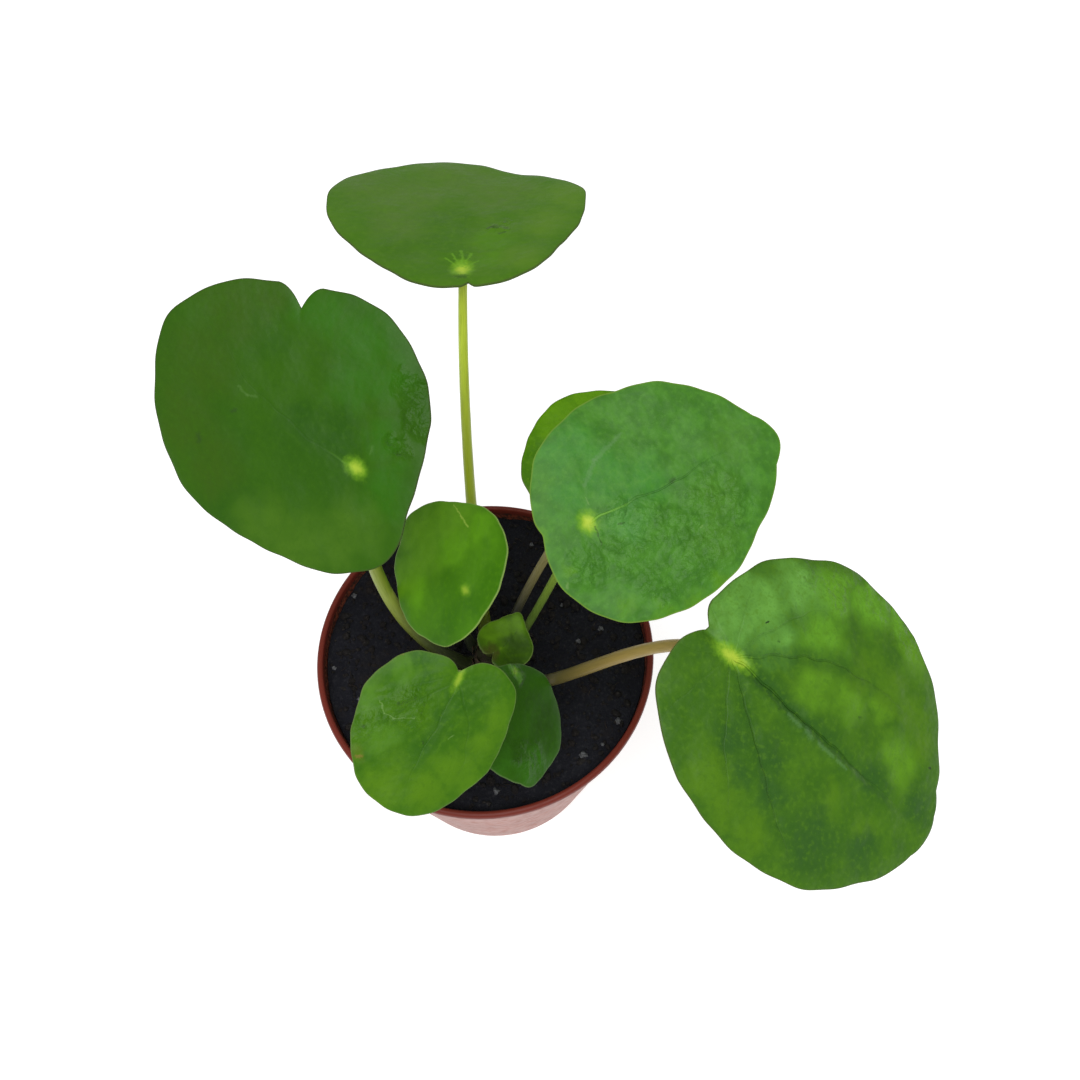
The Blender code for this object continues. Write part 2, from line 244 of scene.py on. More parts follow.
# The potting soil: dark, damp peat that fills the pot to a few millimetres under the rim, slightly
# mounded round the plant and crumbled loose on top, pressed against the wall of the pot. SOIL_SIDE
# gives the radius of each lower ring and its drop from the ring above, in mm.
SOIL_LEVEL = 71.2
SOIL_MOUND = 1.6
MOUND_REACH = 45.0
SOIL_LUMP = 0.35
SOIL_EDGE = 42.85
SOIL_SIDE = ((38.0, 34.5), (33.2, 33.5))
SOIL_FLOOR = 2.75
SOIL_SPOKES = 250
SOIL_RINGS = 84
PEAT = (0.0062, 0.0064, 0.0105, 1)
PEAT_DRY = (0.022, 0.021, 0.026, 1)
PEAT_BROWN = (0.015, 0.013, 0.014, 1)
STALK_CLEAR = 5.5
STEM_X = 1.0
STEM_Y = -5.0


def soil_height(x, y):
    """Height of the soil's face in mm."""
    lump = math.sin(0.31 * x + 1.3) * math.sin(0.27 * y + 0.4)
    lump += 0.6 * math.sin(0.55 * x - 0.41 * y) + 0.5 * math.sin(0.23 * x + 0.62 * y + 2.0)
    return SOIL_LEVEL + SOIL_MOUND * (1.0 - (x * x + y * y) / MOUND_REACH ** 2) + SOIL_LUMP * lump


def points_of(piece):
    at = np.zeros(len(piece.data.vertices) * 3)
    piece.data.vertices.foreach_get("co", at)
    return at.reshape(-1, 3)


def dome(name, spokes, rings):
    """A round sheet of even rings and spokes, cut from a ball; also gives each point's share and turn."""
    start_piece()
    bpy.ops.mesh.primitive_uv_sphere_add(segments=spokes, ring_count=rings * 2, radius=1.0)
    piece = bpy.context.object
    piece.name = name
    bpy.ops.object.mode_set(mode="EDIT")
    bpy.ops.mesh.select_all(action="SELECT")
    bpy.ops.mesh.bisect(plane_co=(0, 0, 0), plane_no=(0, 0, 1), clear_inner=True)
    bpy.ops.object.mode_set(mode="OBJECT")
    at = points_of(piece)
    share = np.arctan2(np.hypot(at[:, 0], at[:, 1]), at[:, 2]) / (math.pi / 2)
    return piece, np.minimum(share, 1.0), np.arctan2(at[:, 1], at[:, 0])


soil, share, turn = dome("potting_soil", SOIL_SPOKES, SOIL_RINGS)
for vert, s, a in zip(soil.data.vertices, share, turn):
    x, y = SOIL_EDGE * s * math.cos(a), SOIL_EDGE * s * math.sin(a)
    rough = noise.noise(Vector((x * 0.55, y * 0.55, 3.0))) * 0.45
    rough += noise.noise(Vector((x * 1.5, y * 1.5, 7.0))) * 0.30
    rough += noise.noise(Vector((x * 3.6, y * 3.6, 1.0))) * 0.12
    vert.co = Vector((x, y, soil_height(x, y) + rough - 0.15)) * MM
pick(soil)
bpy.ops.object.mode_set(mode="EDIT")
bpy.ops.mesh.select_mode(type="EDGE")
radius = SOIL_EDGE
for lower_radius, drop in SOIL_SIDE:
    bpy.ops.mesh.select_all(action="DESELECT")
    bpy.ops.mesh.select_non_manifold()
    bpy.ops.mesh.extrude_region_move(TRANSFORM_OT_translate={"value": (0, 0, -drop * MM)})
    shrink = lower_radius / radius
    bpy.ops.transform.resize(value=(shrink, shrink, 1.0), center_override=(0, 0, 0))
    radius = lower_radius
bpy.ops.transform.resize(value=(1, 1, 0), center_override=(0, 0, SOIL_FLOOR * MM))
bpy.ops.mesh.edge_face_add()
bpy.ops.mesh.select_all(action="SELECT")
bpy.ops.mesh.normals_make_consistent(inside=False)
bpy.ops.object.mode_set(mode="OBJECT")
bpy.ops.object.shade_smooth_by_angle(angle=math.radians(60))


def peat_skin(name, deep, dry, brown):
    skin, tree, shader, own = new_skin(name, 0.16)
    damp = speckle(tree, own, 140.0, 4.0)
    grain = speckle(tree, own, 1300.0, 4.0, 0.7)
    colour = tint(tree, step_between(tree, grain, 0.5, 0.72), deep, dry)
    colour = tint(tree, step_between(tree, damp, 0.5, 0.75, 0.0, 0.8), colour, brown)
    lay_on(tree, shader, colour, step_between(tree, damp, 0.35, 0.7, 0.62, 0.95))
    emboss(tree, shader, calc(tree, "ADD", grain, speckle(tree, own, 3200.0, 2.0)), 0.25)
    return skin


clad(soil, peat_skin("damp_peat", PEAT, PEAT_DRY, PEAT_BROWN))
hand_over(soil, "soil", "soil")


# The loose top of the soil: peat crumbs, shreds of fibre and a few pale grains of grit that lie on
# the face, sunk a little into it. One of each is shaped and then copied, turned and scattered.
CRUMBS = 1150
CRUMB_SIZE = (0.32, 1.15)
CRUMB_TONES = (0.0095, 0.0080, 0.0080, 1), (0.034, 0.028, 0.026, 1), (0.018, 0.014, 0.013, 1)
FIBRES = 190
FIBRE_SIZE = (0.7, 1.7)
FIBRE_TONES = (0.018, 0.013, 0.011, 1), (0.056, 0.042, 0.034, 1), (0.028, 0.021, 0.018, 1)
PALE_GRIT = ((-37.9, 16.7), (-40.8, -5.1), (34.9, -20.0), (25.6, -28.9), (3.7, -37.9), (20.8, 13.1),
             (31.3, 6.1), (-33.0, -14.0), (25.0, 2.0), (-14.0, 31.0), (12.0, 33.0), (-22.0, -24.0),
             (30.5, -26.0), (-28.0, 14.0))
GRIT_SIZE = (0.45, 0.95)
GRIT_GREY = (0.040, 0.040, 0.045, 1)
GRIT_PALE = (0.11, 0.11, 0.12, 1)
GRIT_SINK = 0.1
WALL_CLEAR = 0.3
dice = random.Random(11)


def copy_of(sample):
    copy = sample.copy()
    copy.data = sample.data.copy()
    bpy.context.scene.collection.objects.link(copy)
    return copy


def join_copies(name, copies, soft_angle):
    """Joins the copies to one piece, with soft edges up to the angle in degrees."""
    start_piece()
    for copy in copies:
        copy.select_set(True)
    bpy.context.view_layer.objects.active = copies[0]
    bpy.ops.object.join()
    piece = bpy.context.object
    piece.name = name
    bpy.ops.object.shade_smooth_by_angle(angle=math.radians(soft_angle))
    return piece


def scatter(name, sample, spots):
    """Copies one shaped sample to each (x, y, sink, size, stretch) in mm and joins the copies."""
    copies = []
    for x, y, sink, size, stretch in spots:
        copy = copy_of(sample)
        facing = Matrix.Rotation(dice.uniform(0, 2 * math.pi), 4, "Z")
        tumble = Matrix.Rotation(dice.uniform(-0.5, 0.5), 4, "X")
        tumble = tumble @ Matrix.Rotation(dice.uniform(-0.4, 0.4), 4, "Y")
        grow = Matrix.Diagonal((size * stretch * MM, size * MM, size * MM * dice.uniform(0.6, 0.95), 1.0))
        place = Matrix.Translation(Vector((x, y, soil_height(x, y) - sink)) * MM)
        copy.data.transform(place @ facing @ tumble @ grow)
        copies.append(copy)
    bpy.data.objects.remove(sample)
    return join_copies(name, copies, 50)


def soil_spots(count, sizes, stretch):
    """Places all over the soil's face, clear of the stem and of the pot's wall."""
    spots = []
    while len(spots) < count:
        size = sizes[0] + (sizes[1] - sizes[0]) * dice.random() ** 2.2
        long = dice.uniform(*stretch)
        reach = (SOIL_EDGE - WALL_CLEAR - size * long) * math.sqrt(dice.random())
        turn = dice.uniform(0, 2 * math.pi)
        x, y = reach * math.cos(turn), reach * math.sin(turn)
        if math.hypot(x - STEM_X, y - STEM_Y) > STALK_CLEAR:
            spots.append((x, y, size * dice.uniform(-0.05, 0.5), size, long))
    return spots


def lumpy_sample(segments, rings, depth, seed):
    start_piece()
    bpy.ops.mesh.primitive_uv_sphere_add(segments=segments, ring_count=rings, radius=1.0)
    sample = bpy.context.object
    for vert in sample.data.vertices:
        vert.co *= 1.0 + depth * noise.noise(vert.co * 1.4 + Vector((seed, 0, 0)))
    return sample


crumbs = scatter("peat_crumbs", lumpy_sample(8, 5, 0.55, 4.0), soil_spots(CRUMBS, CRUMB_SIZE, (0.8, 1.5)))
clad(crumbs, peat_skin("peat_crumb", *CRUMB_TONES))
hand_over(crumbs, "soil")

start_piece()
bpy.ops.mesh.primitive_cylinder_add(vertices=5, radius=0.13, depth=2.0, rotation=(0, math.radians(90), 0))
shred = bpy.context.object
bpy.ops.object.transform_apply()
bpy.ops.object.mode_set(mode="EDIT")
bpy.ops.mesh.select_all(action="SELECT")
for cut in (-0.5, 0.0, 0.5):
    bpy.ops.mesh.bisect(plane_co=(cut, 0, 0), plane_no=(1, 0, 0))
    bpy.ops.mesh.select_all(action="SELECT")
bpy.ops.object.mode_set(mode="OBJECT")
for vert in shred.data.vertices:
    thin = 1.0 - 0.55 * abs(vert.co.x)
    vert.co = Vector((vert.co.x, vert.co.y * thin + 0.22 * math.sin(vert.co.x * 2.2), vert.co.z * thin
                      + 0.16 * math.cos(vert.co.x * 1.9)))
fibres = scatter("peat_fibres", shred, soil_spots(FIBRES, FIBRE_SIZE, (0.9, 1.6)))
clad(fibres, peat_skin("peat_fibre", *FIBRE_TONES))
hand_over(fibres, "soil")

grit_spots = [(x, y, GRIT_SINK, dice.uniform(*GRIT_SIZE), dice.uniform(0.9, 1.4)) for x, y in PALE_GRIT]
grit = scatter("pale_grit", lumpy_sample(20, 12, 0.7, 9.0), grit_spots)
skin, tree, shader, own = new_skin("grit_stone", 0.5, 0.6)
lay_on(tree, shader, tint(tree, step_between(tree, speckle(tree, own, 1500.0, 4.0), 0.4, 0.65),
                          GRIT_GREY, GRIT_PALE))
emboss(tree, shader, speckle(tree, own, 4000.0, 3.0), 0.1)
clad(grit, skin)
hand_over(grit, "soil")


# The stem: a short woody trunk, brown and corky, knobbly with the scars of old leaves. It grows up
# through the soil and ends in a blunt tip that the leaf stalks crowd round. Scars are given by their
# turn in degrees and their height, and spread over SCAR_TURN degrees and SCAR_TALL mm.
STEM_SIDES = 56
STEM_PROFILE = ((4.1, 66.0), (4.1, 68.0), (4.15, 69.5), (4.2, 70.6), (4.2, 71.6), (4.15, 72.4),
                (4.1, 73.2), (4.0, 74.0), (3.95, 74.8), (3.9, 75.6), (3.85, 76.4), (3.8, 77.2),
                (3.7, 78.0), (3.6, 78.7), (3.35, 79.4), (3.0, 80.1), (2.6, 80.7), (2.0, 81.2),
                (1.3, 81.5), (0.6, 81.6))
SCARS = ((20, 74.6), (95, 76.0), (170, 73.8), (230, 77.2), (300, 75.2), (345, 78.2), (130, 78.6),
         (60, 73.2), (265, 73.6))
SCAR_TURN = 26.0
SCAR_TALL = 0.95
CORK = (0.030, 0.018, 0.012, 1)
CORK_PALE = (0.085, 0.058, 0.038, 1)
CORK_GREEN = (0.030, 0.038, 0.014, 1)

stem = turn_profile("woody_stem", STEM_PROFILE, STEM_SIDES, (STEM_X, STEM_Y))
for vert in stem.data.vertices:
    at = vert.co / MM
    out = Vector((at.x - STEM_X, at.y - STEM_Y, 0.0))
    if out.length < 0.3:
        continue
    turn = math.degrees(math.atan2(out.y, out.x))
    push = 0.22 * noise.noise(at * 0.9) + 0.10 * noise.noise(at * 2.6)
    for scar_turn, scar_height in SCARS:
        off = (turn - scar_turn + 180) % 360 - 180
        near = (off / SCAR_TURN) ** 2 + ((at.z - scar_height) / SCAR_TALL) ** 2
        push += 0.42 * math.exp(-near) - 0.5 * math.exp(-near * 7.0)
    vert.co += out.normalized() * push * MM
pick(stem)
bpy.ops.object.shade_smooth_by_angle(angle=math.radians(50))
skin, tree, shader, own = new_skin("corky_bark", 0.3)
ring = speckle(tree, stretched(tree, own, 200.0, 200.0, 1500.0), 1.0, 4.0)
flake = speckle(tree, own, 700.0, 5.0, 0.7)
height = wire(tree, "SeparateXYZ", {0: own}).outputs[2]
colour = tint(tree, step_between(tree, calc(tree, "ADD", ring, flake), 0.85, 1.25), CORK, CORK_PALE)
greening = times(tree, step_between(tree, height, 78.0 * MM, 80.5 * MM, 0.0, 0.8),
                 step_between(tree, flake, 0.35, 0.65))
colour = tint(tree, greening, colour, CORK_GREEN)
lay_on(tree, shader, colour, step_between(tree, flake, 0.3, 0.7, 0.65, 0.95))
emboss(tree, shader, calc(tree, "ADD", ring, flake), 0.3)
clad(stem, skin)
hand_over(stem, "stem", "stem")


# The dry scales on the stem: thin, papery brown stipules left at the feet of the leaf stalks, each a
# small pointed flap that grows from the stem and stands a little off it. A row holds the turn in
# degrees, the height and the length.
SCALE_ROWS = ((35, 76.0, 3.2), (80, 78.0, 2.8), (118, 75.2, 3.4), (160, 79.0, 2.6), (200, 76.6, 3.4),
              (215, 79.6, 2.6), (290, 77.4, 3.0), (325, 79.8, 2.4), (10, 80.0, 2.3), (140, 80.4, 2.2))
SCALE_SEAT = 3.75
TIP_SEAT = 2.9
TIP_HEIGHT = 79.5
SCALE_BROWN = (0.050, 0.028, 0.018, 1)
SCALE_TAN = (0.13, 0.085, 0.055, 1)

start_piece()
bpy.ops.mesh.primitive_grid_add(x_subdivisions=8, y_subdivisions=10, size=1.0)
flap = bpy.context.object
for vert in flap.data.vertices:
    up = vert.co.y + 0.5
    side = vert.co.x * 2.0
    width = 0.46 * math.sin(math.pi * min(1.0, 0.28 + 0.72 * up)) * (1.0 - 0.35 * up)
    vert.co = Vector((side * width, 0.20 * up * up + 0.16 * (1 - side * side) * (1 - up), up))
finish_with(flap, "SOLIDIFY", thickness=0.05, offset=0.0)
flaps = []
for turn, height, length in SCALE_ROWS:
    copy = copy_of(flap)
    a = math.radians(turn)
    radius = SCALE_SEAT if height < TIP_HEIGHT else TIP_SEAT
    place = Vector((STEM_X + radius * math.cos(a), STEM_Y + radius * math.sin(a), height))
    copy.data.transform(Matrix.Translation(place * MM) @ Matrix.Rotation(a - math.pi / 2, 4, "Z")
                        @ Matrix.Scale(length * MM, 4))
    flaps.append(copy)
bpy.data.objects.remove(flap)
scales = join_copies("dry_stipules", flaps, 60)
skin, tree, shader, own = new_skin("papery_scale", 0.35, 0.6)
vein = speckle(tree, stretched(tree, own, 1500.0, 1500.0, 200.0), 1.0, 3.0)
lay_on(tree, shader, tint(tree, step_between(tree, vein, 0.35, 0.68), SCALE_BROWN, SCALE_TAN))
emboss(tree, shader, vein, 0.12)
clad(scales, skin)
hand_over(scales, "stem")


# The leaf blades: nine round, fleshy shield leaves, each held from below near its middle. The blade
# is one thin sheet with a pale seat over the stalk, pressed-in veins that fan out, and a fine margin.
# A row holds the seat in mm, the heading of the tip, the tilt and where it leans in degrees, how much
# the sheet bows along and across, the middle of its round, its reach in mm at even turns from the tip,
# notches and corners of the outline, the wave of its margin, and the spokes and rings of its mesh.
BLADE_THICKNESS = 0.9
MARGIN_SHARE = 0.5
MARGIN_DROP = 0.25
RIM_ROUNDING = 0.16
SEAT_DIP = 0.40
SEAT_SPREAD = 2.2
VEIN_PRESS = 0.30
VEIN_SHOULDER = 0.16
SCALLOPS = ((11, 0.004, 1.0), (23, 0.003, 2.0))
BLADES = {
    "top": dict(
        seat=(-0.8, 39.8, 166.9), heading=88, tilt=10, toward=90, bow=(0, -0.003), middle=18,
        reach=(27, 29.5, 30.5, 32, 31.5, 28.5, 25.5, 24.2, 25, 24, 23.5, 22.8, 21.5, 22.3, 24.5, 27, 26,
               24.5), edges=((184, 1.4, 4),), wave=(0.12, 5, 0.6), mesh=(264, 46)),
    "left": dict(
        seat=(-19.9, 1.4, 153.1), heading=132, tilt=40, toward=-112, bow=(-0.001, 0.001), middle=14,
        reach=(33.0, 31.7, 30.5, 29.5, 27.5, 26, 27, 29.5, 31, 27.2, 25.5, 26, 26, 26.2, 25.7, 24.7, 26.9,
               30.4), edges=((305, 4.1, 10.5),), wave=(0.25, 4, 1.1), mesh=(288, 48)),
    "inner": dict(
        seat=(-1.9, -6.1, 118.3), heading=130, tilt=37, toward=-160, bow=(-0.002, 0.001), middle=8,
        reach=(18, 16.5, 16.5, 15.5, 16, 16.5, 17, 18, 17.3, 16.3, 16, 16, 16.5, 16.2, 15.8, 15, 15.5, 17),
        edges=(), wave=(0.15, 4, 2.0), mesh=(200, 34)),
    "front": dict(
        seat=(-1.9, -27.6, 120.5), heading=-107, tilt=38, toward=-62, bow=(0.001, 0.002), middle=11,
        reach=(18.5, 18.5, 17, 15.5, 15.5, 15.5, 16.5, 18.5, 17.7, 14.6, 14.7, 16.2, 16.4, 16.5, 15.8, 16.2,
               17, 18.2), edges=((183, 2.1, 14),), wave=(0.3, 6, 0.3), mesh=(208, 36)),
    "shaded": dict(
        seat=(8.9, -16.7, 97.8), heading=-82, tilt=38, toward=-8, bow=(0.002, 0.003), middle=10,
        reach=(15, 16.1, 15.1, 14.9, 14, 13.6, 13.4, 13.4, 12.5, 12, 11.5, 11.5, 11.5, 11.5, 12, 12.5, 13.5,
               14.2), edges=((16, -0.5, 10),), wave=(0.2, 5, 1.7), mesh=(184, 30)),
    "young": dict(
        seat=(5.0, -9.0, 93.2), heading=56, tilt=18, toward=-20, bow=(-0.02, -0.02), middle=2,
        reach=(7.2, 7.2, 6.3, 5.8, 6.3, 6.8, 7.2, 6.8, 6.3, 6.3, 6.8, 6.8, 7.2, 7.2, 7.2, 6.8, 6.3, 6.3),
        edges=((12, -0.7, 12), (170, 2.4, 16)), wave=(0.08, 3, 0.0), mesh=(128, 22)),
    "hidden": dict(
        seat=(23.4, 11.9, 126.7), heading=50, tilt=12, toward=-60, bow=(0, 0.001), middle=10,
        reach=(20, 21, 21.1, 21.1, 20.8, 19.8, 19.6, 19.6, 18.5, 17.5, 17, 17, 17, 17, 17, 17, 18, 19),
        edges=(), wave=(0.2, 5, 0.9), mesh=(208, 36)),
    "upper_right": dict(
        seat=(23.7, -5.7, 145.3), heading=27, tilt=27, toward=-75, bow=(0, 0.001), middle=13.6,
        reach=(27.2, 25.6, 23.6, 22.6, 21.6, 21.9, 22.6, 23.6, 23.5, 23.3, 24.9, 25.4, 24.7, 23.2, 22.6,
               22.3, 22.6, 25.2), edges=((2, -1.2, 12), (177, 0.5, 9)), wave=(0.25, 6, 1.4), mesh=(288, 50)),
    "lower_right": dict(
        seat=(53.0, -24.9, 125.6), heading=-31, tilt=27, toward=-45, bow=(0.001, 0.002), middle=22,
        reach=(37.5, 35.5, 35.0, 34.6, 34.5, 34.5, 33.2, 33.1, 32.3, 32.8, 35.5, 34, 32.2, 31.3, 32, 33.5,
               35, 37.5), edges=((176, 3.5, 10), (351, -0.9, 8), (7, 0.7, 7)), wave=(0.3, 6, 2.2),
        mesh=(320, 58)),
}

